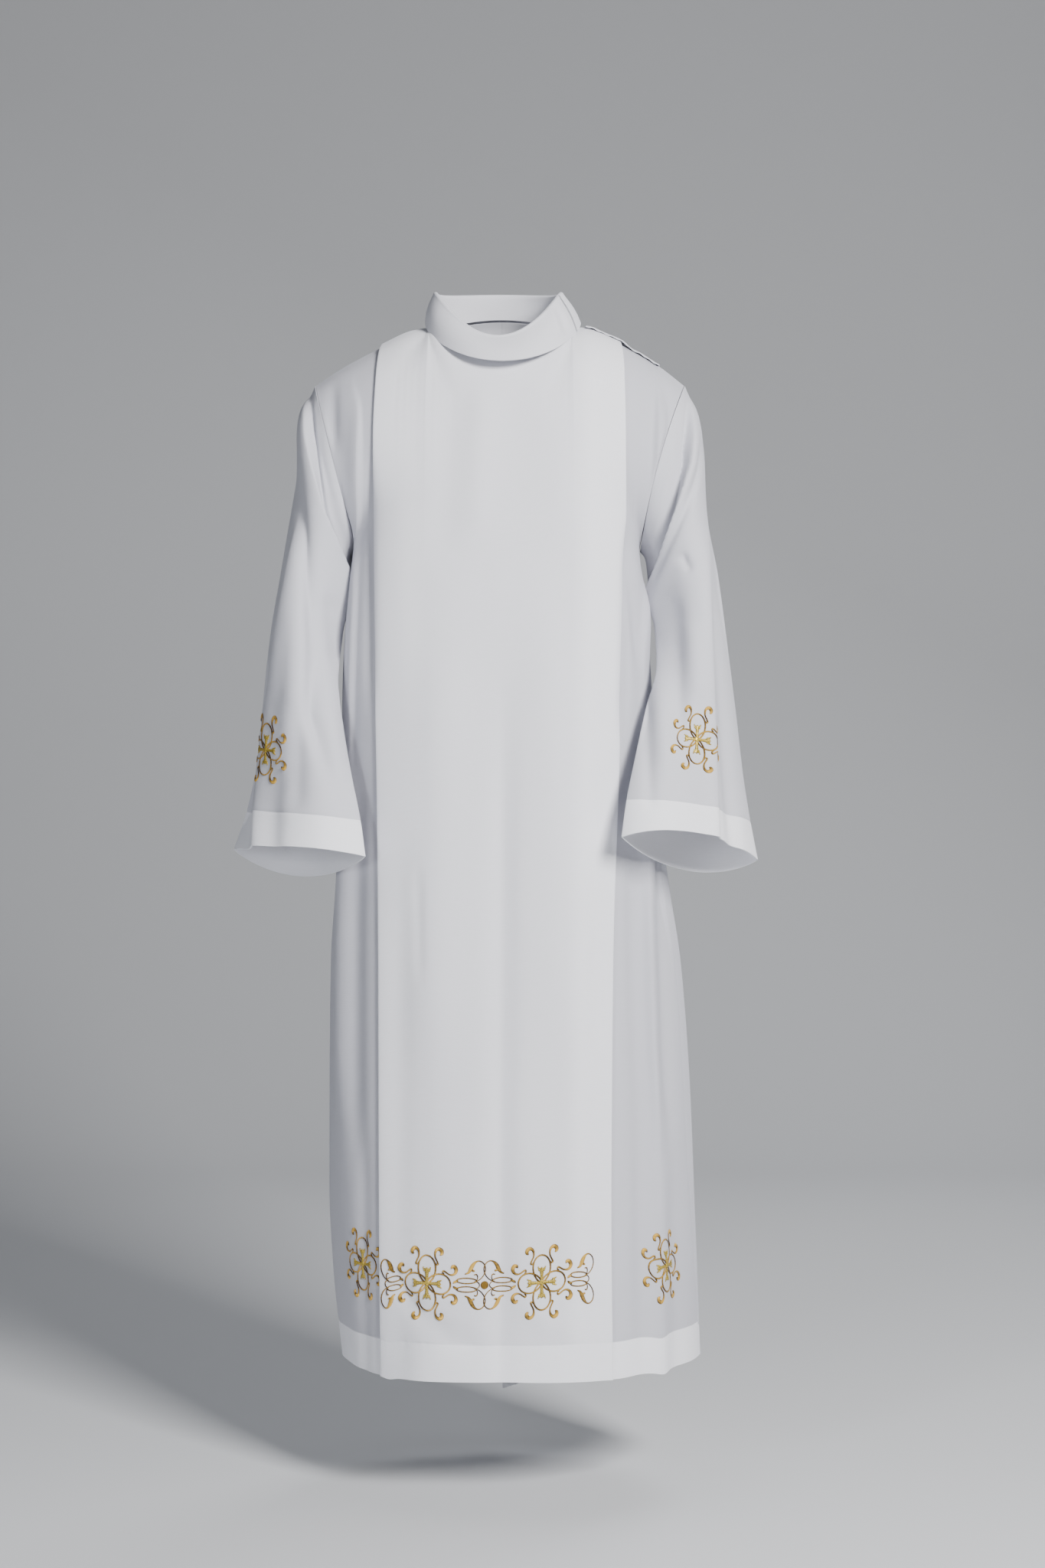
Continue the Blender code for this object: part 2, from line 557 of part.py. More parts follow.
def sleeve(side):
    """A bell sleeve, a tube from the armhole to the cuff."""
    down, extra = hem_rows(SLEEVE_DOWN, CUFF_SHARE)
    turn = np.linspace(-1, 1, 2 * ARM_STEPS + 1)
    t, d = np.meshgrid(turn, down)

    def surface(t, d):
        return sleeve_surface(side, t, d)

    inside = np.where(np.abs(t) < 1e-6, 1e-4, t)
    n = normals(surface, inside, np.minimum(d, 0.9999), SIDES[side])
    folds = fold_height(SLEEVE_FOLDS[side], t, d, SLEEVE_SCALE, SLEEVE_LENGTH) * smooth(d / 0.05)
    folds = folds * smooth((1 - np.abs(t)) / 0.15) * smooth((1 - d) / 0.14)
    lay = surface(t, d)
    inner = lay + n * (folds - CLOTH / 2 - extra[:, None])[..., None]
    outer = lay + n * (folds + CLOTH / 2)[..., None]
    return make_piece("sleeve_" + side, WHITE, inner, outer, tube=True)


def collar():
    """The collar: a strip that stands up from the neck seam and turns down over itself."""
    turn = np.linspace(*COLLAR_ENDS, 46)
    seam, fold, edge = (neck_point(ring, turn) for ring in (COLLAR_SEAM, COLLAR_FOLD, COLLAR_EDGE))
    out = stack(np.sin(np.radians(turn)), -np.cos(np.radians(turn)), 0)
    up = np.array([0, 0, 1.0])
    raised = np.where(np.cos(np.radians(turn)) > 0, centre_lift((seam[:, 0] - NECK_MIDDLE) / PLEAT_SCALE), 0)
    seam = seam + up * (CLOTH / 2 + SEAM_GAP + COLLAR_RISE + raised[:, None]) - out * 0.6
    way = [seam, seam * 0.55 + fold * 0.45 - out * COLLAR_BEND * 0.8 - up * 1.5]
    for angle in np.radians([180, 120, 60, 0]):
        way.append(fold + out * COLLAR_BEND * np.cos(angle) + up * COLLAR_BEND * (np.sin(angle) - 1))
    start = way[-1]
    for t in (0.3, 0.65, 1.0):
        way.append(start + (edge - start) * t + out * 2.5 * np.sin(np.pi * t))
    middle = np.stack(way, axis=0)
    d_way = np.gradient(middle, axis=0)
    d_turn = np.gradient(middle, axis=1)
    n = np.cross(d_turn, d_way)
    n /= np.linalg.norm(n, axis=-1, keepdims=True)
    return make_piece("collar", WHITE, middle - n * COLLAR_CLOTH / 2, middle + n * COLLAR_CLOTH / 2)


def shoulder_strip():
    """The strip over the fastening, on the wearer's left shoulder from the collar outwards."""
    x = np.linspace(STRIP_FROM, STRIP_TO, 13)
    y = np.linspace(-STRIP_FRONT, STRIP_BACK, 6)
    x, y = np.meshgrid(x, y)
    lift = 2 * LAYER * (1 - smooth((x - 160) / 14)) * np.where(y > 0, 1 - smooth(y / STRIP_BACK) * 0.8, 1)
    wave = 0.5 + 0.5 * np.sin((x - STRIP_FROM) / (STRIP_TO - STRIP_FROM) * 3 * 2 * np.pi)
    above = CLOTH + SEAM_GAP + 1.9 + lift + wave * np.where(y < 0, 0.9, 0.2)
    drop = along(SHOULDER, "left", x, "out") + np.abs(y) * 0.33 - above
    middle = stack(x, y, drop)
    n = np.array([0.45, 0, 0.89])
    return make_piece("shoulder_strip", SOFT_WHITE, middle - n * CLOTH / 2, middle + n * CLOTH / 2)


for old in list(bpy.data.objects):
    bpy.data.objects.remove(old)
front()
for each_side in SIDES:
    back(each_side)
    sleeve(each_side)
collar()
shoulder_strip()
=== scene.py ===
# %% [markdown]
# An alb is a long white robe that hangs from the shoulders, with bell sleeves, a turned-down collar and two
# long pleats down the front. This lesson dresses a finished engineering model of one: each stiff solid is
# replaced by a thin wall of cloth on the same form, with the small creases, hems, seams and gold embroidery
# that solids leave out. The model is loaded first, because every piece below has to stay on it.

from collections import namedtuple

import bmesh
import bpy
import numpy as np
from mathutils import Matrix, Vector


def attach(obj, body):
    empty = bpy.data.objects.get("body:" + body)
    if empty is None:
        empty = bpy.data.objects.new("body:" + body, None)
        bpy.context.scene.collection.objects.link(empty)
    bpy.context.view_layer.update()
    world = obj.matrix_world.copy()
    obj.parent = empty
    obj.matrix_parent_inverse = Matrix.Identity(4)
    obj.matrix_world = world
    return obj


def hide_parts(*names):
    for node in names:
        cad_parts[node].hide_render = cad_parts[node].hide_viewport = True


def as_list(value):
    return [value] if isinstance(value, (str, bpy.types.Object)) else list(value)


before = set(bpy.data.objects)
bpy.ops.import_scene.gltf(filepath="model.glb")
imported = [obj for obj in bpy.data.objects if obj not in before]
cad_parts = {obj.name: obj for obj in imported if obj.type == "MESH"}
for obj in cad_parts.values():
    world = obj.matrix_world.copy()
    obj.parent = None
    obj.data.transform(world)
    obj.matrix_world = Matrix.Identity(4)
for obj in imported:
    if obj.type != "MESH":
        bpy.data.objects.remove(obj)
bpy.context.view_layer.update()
print("nodes:", sorted(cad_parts))

MM = 0.001

# %% [markdown]
# The robe is seen from straight in front, with the camera level at the waist. It stands far enough away
# that one millimetre on the robe's middle plane takes the same space everywhere, so the lens is worked out
# from the distance. The floor sweeps up behind in one curve, which leaves no horizon line. A panel in front
# and to the right gives most of the light, a weaker one low on the left fills the shade, one behind lights
# the edges, and a pale room does the rest.

# %% Camera, floor and light
CAMERA_AWAY = 3.4
CAMERA_X, CAMERA_Z = 0.0295, -0.594
SEEN_HEIGHT = 2.048
FLOOR_Z = -1.492
SWEEP_FRONT, SWEEP_BACK, SWEEP_BEND = -7.0, 4.2, 1.6
SWEEP_HIGH, SWEEP_HALF_WIDE = 7.0, 9

camera_data = bpy.data.cameras.new("camera")
camera_data.sensor_fit = "VERTICAL"
camera_data.sensor_height = 24
camera_data.lens = camera_data.sensor_height * CAMERA_AWAY / SEEN_HEIGHT
camera = bpy.data.objects.new("camera", camera_data)
bpy.context.collection.objects.link(camera)
camera.location = (CAMERA_X, -CAMERA_AWAY, CAMERA_Z)
camera.rotation_euler = (np.radians(90), 0, 0)
bpy.context.scene.camera = camera


def node_material(name):
    """A new material and its Principled shader."""
    material = bpy.data.materials.new(name)
    material.use_nodes = True
    return material, material.node_tree, material.node_tree.nodes["Principled BSDF"]


def studio_sweep():
    """A floor that curves up into a wall, swept sideways from one line."""
    turn = np.radians(np.linspace(0, 90, 25))
    curve_y = SWEEP_BACK - SWEEP_BEND + SWEEP_BEND * np.sin(turn)
    curve_z = SWEEP_BEND - SWEEP_BEND * np.cos(turn)
    line = [(SWEEP_FRONT, 0.0), *zip(curve_y, curve_z), (SWEEP_BACK, SWEEP_HIGH)]
    bm = bmesh.new()
    verts = [bm.verts.new((-SWEEP_HALF_WIDE, y, FLOOR_Z + z)) for y, z in line]
    edges = [bm.edges.new(pair) for pair in zip(verts[:-1], verts[1:])]
    swept = bmesh.ops.extrude_edge_only(bm, edges=edges)
    for vert in swept["geom"]:
        if isinstance(vert, bmesh.types.BMVert):
            vert.co.x = SWEEP_HALF_WIDE
    bmesh.ops.recalc_face_normals(bm, faces=bm.faces[:])
    mesh = bpy.data.meshes.new("studio_floor")
    bm.to_mesh(mesh)
    bm.free()
    mesh.shade_smooth()
    floor = bpy.data.objects.new("studio_floor", mesh)
    bpy.context.collection.objects.link(floor)
    return floor


floor = studio_sweep()
paper, paper_nodes, paper_shader = node_material("studio_paper")
paper_grain = paper_nodes.nodes.new("ShaderNodeTexNoise")
paper_grain.inputs["Scale"].default_value = 3.0
paper_tone = paper_nodes.nodes.new("ShaderNodeValToRGB")
paper_tone.color_ramp.elements[0].color = (0.60, 0.61, 0.63, 1)
paper_tone.color_ramp.elements[1].color = (0.63, 0.64, 0.66, 1)
paper_nodes.links.new(paper_grain.outputs["Fac"], paper_tone.inputs["Fac"])
paper_nodes.links.new(paper_tone.outputs["Color"], paper_shader.inputs["Base Color"])
paper_shader.inputs["Roughness"].default_value = 0.9
floor.data.materials.append(paper)


def soft_panel(name, place, aim, wide, high, power, colour):
    """A large area light that faces its aim."""
    data = bpy.data.lights.new(name, "AREA")
    data.shape = "RECTANGLE"
    data.size, data.size_y = wide, high
    data.energy = power
    data.color = colour
    light = bpy.data.objects.new(name, data)
    bpy.context.collection.objects.link(light)
    light.location = place
    light.rotation_euler = (Vector(aim) - Vector(place)).to_track_quat("-Z", "Y").to_euler()
    return light


ROBE_MIDDLE = (0, 0, -0.7)
soft_panel("key_light", (1.7, -2.7, 1.1), ROBE_MIDDLE, 0.9, 1.1, 255, (1.0, 0.99, 0.98))
soft_panel("fill_light", (-1.8, -2.6, -0.3), ROBE_MIDDLE, 0.5, 0.9, 32, (0.92, 0.95, 1.0))
soft_panel("rim_light", (1.4, 2.4, 1.6), ROBE_MIDDLE, 1.4, 1.4, 45, (0.95, 0.97, 1.0))
world = bpy.data.worlds.new("studio_room")
world.use_nodes = True
world.node_tree.nodes["Background"].inputs["Color"].default_value = (0.80, 0.83, 0.90, 1)
world.node_tree.nodes["Background"].inputs["Strength"].default_value = 0.05
bpy.context.scene.world = world
print("lens %.1f mm, floor at %.3f m" % (camera_data.lens, FLOOR_Z))

# %% [markdown]
# The cloth is a plain polyester weave, matt with a soft sheen, and its threads are a little uneven, so
# faint short streaks run across it. Where two layers lie on each other less light comes through, and the
# cloth looks whiter: at the hems, the cuffs and the pleated front. Each panel therefore carries its own
# map, in metres of cloth, for the weave, and a number at each point that says how far its cloth is made
# of two layers, for the colour. That number also holds painted light: it is raised on the front's middle
# to paint the light on the chest, and kept low on the collar to paint the shade on its face.

# %% The cloth's finish
THREAD = 0.00045  # metres from thread to thread
# How far each piece looks like two layers, from 0 for one layer to 1 for two; the hems are 1. The middle's
# share is partly its real layers and partly painted light on the chest, and the collar's is kept low to paint
# its shade.
DOUBLED_AND_LIT = {"middle": 0.6, "over_pleat": 0.275, "back": 0.1, "sleeve": 0.15, "collar": 0.45, "strip": 0.3}


def cloth_material(name, single, double):
    """Woven polyester. It is `single` where there is one layer and `double` where there are two; the mix
    between them also holds painted light and painted shade.
    """
    material, tree, shader = node_material(name)
    new, link = tree.nodes.new, tree.links.new
    spot = new("ShaderNodeUVMap")
    spot.uv_map = "cloth"

    def streaks(along_weft, along_warp, detail):
        scale = new("ShaderNodeMapping")
        scale.inputs["Scale"].default_value = (along_weft, along_warp, 1)
        noise = new("ShaderNodeTexNoise")
        noise.inputs["Scale"].default_value = 1
        noise.inputs["Detail"].default_value = detail
        link(spot.outputs["UV"], scale.inputs["Vector"])
        link(scale.outputs["Vector"], noise.inputs["Vector"])
        return noise.outputs["Fac"]

    def weave(axis):
        wave = new("ShaderNodeTexWave")
        wave.bands_direction = axis
        wave.inputs["Scale"].default_value = 0.314 / THREAD
        wave.inputs["Distortion"].default_value = 1.5
        wave.inputs["Detail"].default_value = 1
        link(spot.outputs["UV"], wave.inputs["Vector"])
        return wave.outputs["Fac"]

    def add(a, b, share):
        node = new("ShaderNodeMath")
        node.operation = "MULTIPLY_ADD"
        node.inputs[1].default_value = share
        link(a, node.inputs[0])
        link(b, node.inputs[2])
        return node.outputs["Value"]

    slubs = streaks(45, 900, 2)
    mottle = streaks(260, 1500, 3)
    # This attribute mixes the one-layer and two-layer tones, and it also paints the light on the front's
    # middle and the shade on the collar.
    layers = new("ShaderNodeAttribute")
    layers.attribute_name = "doubled_and_lit"
    tone = new("ShaderNodeMix")
    tone.data_type = "RGBA"
    tone.inputs["A"].default_value = single
    tone.inputs["B"].default_value = double
    link(layers.outputs["Fac"], tone.inputs["Factor"])
    streak = new("ShaderNodeMapRange")
    streak.inputs["To Min"].default_value = 0.955
    streak.inputs["To Max"].default_value = 1.03
    link(add(mottle, slubs, 0.4), streak.inputs["Value"])
    shade = new("ShaderNodeMix")
    shade.data_type = "RGBA"
    shade.blend_type = "MULTIPLY"
    shade.inputs["Factor"].default_value = 1
    grey = new("ShaderNodeCombineColor")
    for channel in ("Red", "Green", "Blue"):
        link(streak.outputs["Result"], grey.inputs[channel])
    link(tone.outputs["Result"], shade.inputs["A"])
    link(grey.outputs["Color"], shade.inputs["B"])
    link(shade.outputs["Result"], shader.inputs["Base Color"])
    bump = new("ShaderNodeBump")
    bump.inputs["Strength"].default_value = 0.35
    bump.inputs["Distance"].default_value = 0.00025
    link(add(weave("X"), add(weave("Y"), add(mottle, slubs, 0.8), 0.5), 0.5), bump.inputs["Height"])
    link(bump.outputs["Normal"], shader.inputs["Normal"])
    shader.inputs["Roughness"].default_value = 0.72
    shader.inputs["Sheen Weight"].default_value = 0.25
    shader.inputs["Sheen Roughness"].default_value = 0.45
    shader.inputs["Sheen Tint"].default_value = (0.90, 0.92, 1.0, 1)
    shader.inputs["Specular IOR Level"].default_value = 0.35
    return material


robe_cloth = cloth_material("alb_cloth", (0.50, 0.502, 0.55, 1), (0.84, 0.842, 0.885, 1))
print("cloth threads %.2f mm apart" % (THREAD * 1000))

# %% [markdown]
# The robe's form is a body that is rounder than a box and squarer than an ellipse, hung from two shoulder
# seams. It could be sculpted or simulated, but a worn robe is easier to keep true in tables: its outline
# and depth at each height, its seams, and its creases. A surface is then a function of two shares, across
# and down, so one function gives the cloth, its hem, its stitches and the place of the embroidery. Lengths
# are in millimetres of drop below the origin at the neck, and the wearer's right is at -X. These are the
# sizes that the solids have too.

# %% The body's sizes
CLOTH = 1.0  # one layer's wall
HEM_CLOTH = 0.8  # the turned-up layer inside a hem
HEM = 45.0
SEAM_GAP = 0.3
COLLAR_CLOTH = 1.8

# The body's section at each height: side outline, depth in front and behind, centre lines, squareness.
Level = namedtuple("Level", "drop right left front back middle back_middle square")
BODY = [
    Level(0, -160, 160, 92, 90, 2, 2, 2.5),
    Level(80, -182, 180, 104, 108, 2, 2, 2.6),
    Level(160, -184, 180, 113, 118, 1, 2, 2.6),
    Level(292, -184, 181, 118, 121, 0, 2, 2.65),
    Level(350, -192, 188, 121, 120, 0, 2, 2.5),
    Level(450, -202, 196, 126, 121, 0, 2, 2.4),
    Level(600, -206, 205, 134, 127, 0, 3, 2.2),
    Level(720, -212, 219, 141, 133, 0, 3, 2.1),
    Level(830, -220, 236, 148, 138, -1, 3, 2.05),
    Level(980, -222, 247, 158, 143, -2, 4, 2.0),
    Level(1120, -222, 253, 169, 146, -3, 4, 2.0),
    Level(1220, -217, 257, 178, 148, -4, 5, 2.0),
    Level(1335, -205, 261, 187, 150, -6, 5, 2.0),
]
# The angle of each side seam from the centre front, in degrees, and the pleat lines.
Line = namedtuple("Line", "drop seam_right seam_left pleat_right pleat_left")
LINES = [
    Line(0, 90, 90, -150, 154),
    Line(60, 90, 90, -157, 159),
    Line(150, 90, 90, -160, 160),
    Line(292, 90, 90, -159, 159),
    Line(450, 98, 80, -156, 154),
    Line(600, 101, 75, -153, 149),
    Line(800, 102, 73, -151, 143),
    Line(1000, 102, 73, -150, 141),
    Line(1150, 101, 76, -149, 140),
    Line(1335, 100, 82, -147, 141),
]
# The shoulder seam: drop at each distance out from the centre.
Seam = namedtuple("Seam", "out right left")
SHOULDER = [Seam(88, 2, 1), Seam(110, 6, 3), Seam(150, 24, 18), Seam(205, 52, 48), Seam(242, 76, 76)]
# How far forward the cloth has rolled, as a share, at each depth below the shoulder seam.
Roll = namedtuple("Roll", "below share")
ROLL = [
    Roll(0, 0),
    Roll(10, 0.28),
    Roll(25, 0.46),
    Roll(55, 0.65),
    Roll(100, 0.79),
    Roll(150, 0.88),
    Roll(220, 0.955),
    Roll(320, 1),
]
# The armhole, a slanting egg: its tip on the shoulder, its lowest point, and how far its front leans inwards.
Armhole = namedtuple("Armhole", "tip_x tip_drop base_x base_drop lean")
ARMHOLES = {"right": Armhole(-240, 76, -184, 292, 0), "left": Armhole(240, 76, 181, 292, -7)}
ARMHOLE_FRONT, ARMHOLE_BACK = 0.72, 0.74  # its depth as a share of the body's
SIDES = {"right": -1, "left": 1}
SIDE_HEM_DROP = 1333
FRONT_HEM_DROP = 1337
BODY_LENGTH = 1300  # of the front, from its seams to its hem
BACK_HEM_DROP = {"right": 1401, "left": 1418}  # at the vent

# %% [markdown]
# Each column of a table is read on a smooth curve that never overshoots its rows, so a robe with few
# numbers has no dents that nobody asked for. The row that the front ends on follows the armhole first and
# the side seam below it.

# %% Reading the tables
Row = namedtuple("Row", "half middle end square")


def column(rows, name):
    """One named column of a table."""
    return np.array([getattr(row, name) for row in rows], float)


def along(rows, name, at, key="drop"):
    """A column's value between the rows, on a smooth curve that never overshoots them."""
    levels, values = column(rows, key), column(rows, name)
    steps = np.diff(values) / np.diff(levels)
    slopes = np.concatenate([steps[:1], np.zeros(len(steps) - 1), steps[-1:]])
    same_way = steps[:-1] * steps[1:] > 0
    safe = np.where(same_way, steps[:-1] + steps[1:], 1)
    slopes[1:-1] = np.where(same_way, 2 * steps[:-1] * steps[1:] / safe, 0)
    at = np.clip(at, levels[0], levels[-1])
    i = np.clip(np.searchsorted(levels, at, side="right") - 1, 0, len(levels) - 2)
    gap = levels[i + 1] - levels[i]
    t = (at - levels[i]) / gap
    start = values[i] * (1 + 2 * t) * (1 - t) ** 2 + slopes[i] * gap * t * (1 - t) ** 2
    return start + values[i + 1] * t * t * (3 - 2 * t) + slopes[i + 1] * gap * t * t * (t - 1)


def smooth(t):
    """A soft step from 0 to 1."""
    t = np.clip(t, 0, 1)
    return t * t * (3 - 2 * t)


def stack(x, y, drop):
    """Points from their three parts."""
    return np.stack(np.broadcast_arrays(x, y, -np.asarray(drop, float)), axis=-1)


def normals(surface, across, down, turn):
    """Unit normals of a surface at its shares; turn is 1 or -1 to make them point out."""
    step, step_down = 0.01, 0.004
    d_across = surface(across + step, down) - surface(across - step, down)
    lower, upper = np.minimum(down + step_down, 1), np.maximum(down - step_down, 0)
    n = turn * np.cross(d_across, surface(across, lower) - surface(across, upper))
    return n / np.maximum(np.linalg.norm(n, axis=-1, keepdims=True), 1e-12)


print("the tables give a chest of %.0f mm" % (along(BODY, "left", 200) - along(BODY, "right", 200)))

# %% [markdown]
# A crease is drawn where it is seen: as a line over the front or the back, in millimetres from the middle
# and down, with its own width and height. A pressed or pulled one is sharp, a hanging one is soft, and all
# of them die out at their ends. Simulated cloth would make creases too, but not these ones, so they are
# listed one by one.

# %% Creases
# A crease's path, width and height, whether its top is sharp, and its width on the picture's right if it
# isn't the same on both sides.
Crease = namedtuple("Crease", "path wide high sharp other", defaults=(None,))


def crease_height(creases, x, drop):
    """How far the creases raise the cloth at each place."""
    high = np.zeros(np.broadcast(x, drop).shape)
    for crease in creases:
        path = np.array(crease.path, float)
        runs = np.linalg.norm(np.diff(path, axis=0), axis=1)
        nearest = np.full(high.shape, np.inf)
        place = np.zeros(high.shape)
        left_of = np.zeros(high.shape, bool)
        for i, run in enumerate(runs):
            way = (path[i + 1] - path[i]) / run
            past = (x - path[i, 0]) * way[0] + (drop - path[i, 1]) * way[1]
            on_line = np.clip(past, 0, run)
            off = (x - path[i, 0] - on_line * way[0]) ** 2 + (drop - path[i, 1] - on_line * way[1]) ** 2
            place = np.where(off < nearest, runs[:i].sum() + on_line, place)
            is_left = way[0] * (drop - path[i, 1]) - way[1] * (x - path[i, 0]) > 0
            left_of = np.where(off < nearest, is_left, left_of)
            nearest = np.minimum(off, nearest)
        share = place / runs.sum()
        fade = smooth(share / 0.25) * smooth((1 - share) / 0.25)
        wide = np.where(left_of, crease.wide, crease.other or crease.wide)
        soft = np.exp(-nearest / wide**2)
        edged = np.exp(-np.sqrt(nearest + 0.4) / wide)
        high += crease.high * fade * (edged if crease.sharp else soft)
    return high


def ripples(x, drop, wave, high, seed):
    """Faint unevenness of hanging cloth, longer down than across, the same on every run."""
    rng = np.random.default_rng(seed)
    total = np.zeros(np.broadcast(x, drop).shape)
    for _ in range(7):
        across, down, phase = rng.uniform(0.6, 1.6), rng.uniform(-0.25, 0.25), rng.uniform(0, 2 * np.pi)
        total += np.sin(2 * np.pi * (x * across + drop * down) / wave + phase)
    return high * total / np.sqrt(7)


print("creases ready")

# %% [markdown]
# A wall of cloth has two faces. It starts as a flat grid with one square for each place on the cloth; the
# grid is extruded into a second layer, and each layer's points then go to their own face. Solidify could do
# the same for an even wall, but here hems are thicker, and at a seam the wall's edge has to stand square to
# its neighbour's.

# %% Making a wall of cloth
def cloth_wall(name, inner, outer, cloth_map, doubled_and_lit, material, tube=False):
    """One closed wall between two grids of points, [down, across, xyz] in millimetres."""
    rows, columns = inner.shape[:2]
    bm = bmesh.new()
    spot = bm.verts.layers.int.new("spot")
    share = bm.verts.layers.float.new("doubled_and_lit")
    bmesh.ops.create_grid(bm, x_segments=columns - 1, y_segments=rows - 1, size=1, calc_uvs=True)
    for vert in bm.verts:
        row = round((vert.co.y + 1) / 2 * (rows - 1))
        col = round((vert.co.x + 1) / 2 * (columns - 1))
        vert[spot] = row * columns + col
    uv = bm.loops.layers.uv.verify()
    for face in bm.faces:
        for loop in face.loops:
            loop[uv].uv = cloth_map[divmod(loop.vert[spot], columns)]
    for vert in bm.verts:
        vert.co = inner[divmod(vert[spot], columns)] * MM
    if tube:
        bmesh.ops.remove_doubles(bm, verts=bm.verts[:], dist=1e-7)
    copy = bmesh.ops.extrude_face_region(bm, geom=bm.faces[:], use_keep_orig=True)
    for vert in copy["geom"]:
        if isinstance(vert, bmesh.types.BMVert):
            vert.co = outer[divmod(vert[spot], columns)] * MM
    for vert in bm.verts:
        vert[share] = doubled_and_lit[divmod(vert[spot], columns)]
    bmesh.ops.recalc_face_normals(bm, faces=bm.faces[:])
    mesh = bpy.data.meshes.new(name)
    bm.to_mesh(mesh)
    mesh.uv_layers[0].name = "cloth"
    open_edges = sum(not e.is_manifold for e in bm.edges)
    triangles = sum(len(f.verts) - 2 for f in bm.faces)
    bm.free()
    mesh.shade_smooth()
    mesh.set_sharp_from_angle(angle=np.radians(55))
    piece = bpy.data.objects.new(name, mesh)
    bpy.context.collection.objects.link(piece)
    mesh.materials.append(material)
    print("%s: %d triangles, %d open edges" % (name, triangles, open_edges))
    return piece


def cloth_lengths(points):
    """A map of the cloth in metres, measured along its own middle row and column."""
    across = np.linalg.norm(np.diff(points[len(points) * 2 // 3], axis=0), axis=1)
    down = np.linalg.norm(np.diff(points[:, points.shape[1] // 2], axis=0), axis=1)
    u = np.concatenate([[0], np.cumsum(across)])
    v = np.concatenate([[0], np.cumsum(down)])
    return np.stack(np.meshgrid(u, v), axis=-1) * MM


# %% [markdown]
# The upper edge of the body is the ring that the collar is sewn to, and then the shoulder seam out to the
# armhole's tip. The cloth rolls forward from that edge until it hangs.

# %% The body's lay
# A ring round the neck: half width, depths and drops, its middle, and how late the drop changes round it.
Neck = namedtuple("Neck", "half front back front_drop side_drop back_drop middle curve")
COLLAR_SEAM = Neck(half=90, front=70, back=66, front_drop=48, side_drop=2, back_drop=-20, middle=2, curve=1.9)
CORNER_EVENED, CORNER_BELOW = 34, 70  # mm out and mm down over which the neck's corner is evened out
right_hole = ARMHOLES["right"]
# The share down at which the armhole ends and the side seam starts.
UNDERARM = (right_hole.base_drop - right_hole.tip_drop) / (SIDE_HEM_DROP - right_hole.tip_drop)

# Where the hem hangs lower or higher than its line.
Dip = namedtuple("Dip", "share wide low")
HEM_DIPS = {
    "right": [Dip(0.0, 0.8, -4.0), Dip(0.92, 0.06, 2.5), Dip(1.45, 0.20, -3.0)],
    "left": [Dip(0.0, 0.8, -4.0), Dip(1.39, 0.06, 3.0), Dip(1.2, 0.10, -2.0)],
}


def neck_point(ring, turn):
    """A point of a neck ring, turn degrees round from the centre front to the wearer's left."""
    turn = np.radians(turn)
    fore = np.cos(turn)
    depth = np.where(fore > 0, ring.front, ring.back)
    end_drop = np.where(fore > 0, ring.front_drop, ring.back_drop)
    drop = ring.side_drop + (end_drop - ring.side_drop) * np.abs(fore) ** ring.curve
    return stack(ring.middle + ring.half * np.sin(turn), -depth * fore, drop)


def top_edge(x, side, back):
    """The body's upper edge above x: the y and drop of the neck ring, or of the shoulder seam beyond it."""
    out = np.abs(x - COLLAR_SEAM.middle)
    in_neck = out < COLLAR_SEAM.half
    turn = np.degrees(np.arcsin(np.clip(out / COLLAR_SEAM.half, 0, 1)))
    ring = neck_point(COLLAR_SEAM, 180 - turn if back else turn)
    y = np.where(in_neck, ring[..., 1], 0)
    drop = np.where(in_neck, -ring[..., 2], along(SHOULDER, side, np.abs(x), "out"))
    return y, drop


def edge_depth(x, below, back):
    """How deep the upper edge lies above x, evened out lower down so that the neck's corner ends."""
    even = CORNER_EVENED * smooth(below / CORNER_BELOW)
    total = 0
    for step in np.linspace(-1, 1, 9):
        q = np.clip(np.abs(x + even * step - COLLAR_SEAM.middle) / COLLAR_SEAM.half, 0, 1)
        total = total + np.sqrt(1 - q * q)
    return total / 9 * (COLLAR_SEAM.back if back else -COLLAR_SEAM.front)


def side_drop(side, down):
    """The drop at the body's side for a share down."""
    tip = ARMHOLES[side].tip_drop
    return tip + (SIDE_HEM_DROP - tip) * down


def section(side, down, depth, fore):
    """A row's half width, middle and squareness, and the angle at which it ends."""
    hole, drop = ARMHOLES[side], side_drop(side, down)
    share = np.clip((drop - hole.tip_drop) / (hole.base_drop - hole.tip_drop), 0, 1)
    lean = hole.lean * 4 * share * (1 - share) if fore else 0
    edge_x = hole.tip_x + (hole.base_x - hole.tip_x) * share + lean
    square = along(BODY, "square", drop)
    hole_end = np.degrees(np.arccos((depth * (1 - share**5)) ** (square / 2)))
    middle = along(BODY, "middle" if fore else "back_middle", drop)
    seam = along(LINES, "seam_" + side, drop)
    in_hole = share < 1
    end = np.where(in_hole, hole_end, seam if fore else 180 - seam)
    edge_half = (edge_x - middle) / np.sin(np.radians(end)) ** (2 / square)
    half = np.where(in_hole, edge_half, along(BODY, side, drop) - middle)
    return Row(half, middle, end, square)


def angle_of(row, x):
    """The angle at which a row's outline passes x."""
    return np.degrees(np.arcsin(np.clip((x - row.middle) / row.half, 0, 1) ** (row.square / 2)))


def outline(row, angle, drop, fore):
    """x and full y of a row's outline at an angle from the centre of the front, or of the back."""
    sine, cosine = np.sin(np.radians(angle)), np.cos(np.radians(angle))
    other = along(BODY, "back_middle" if fore else "middle", drop)
    wide, deep = sine ** (2 / row.square), np.abs(cosine) ** (2 / row.square)
    x = np.where(cosine >= 0, row.middle + row.half * wide, other + (row.middle + row.half - other) * wide)
    front, back = along(BODY, "front", drop), along(BODY, "back", drop)
    ahead, behind = (front, back) if fore else (back, front)
    y = -np.sign(cosine) * deep * np.where(cosine >= 0, ahead, behind)
    return x, y if fore else -y


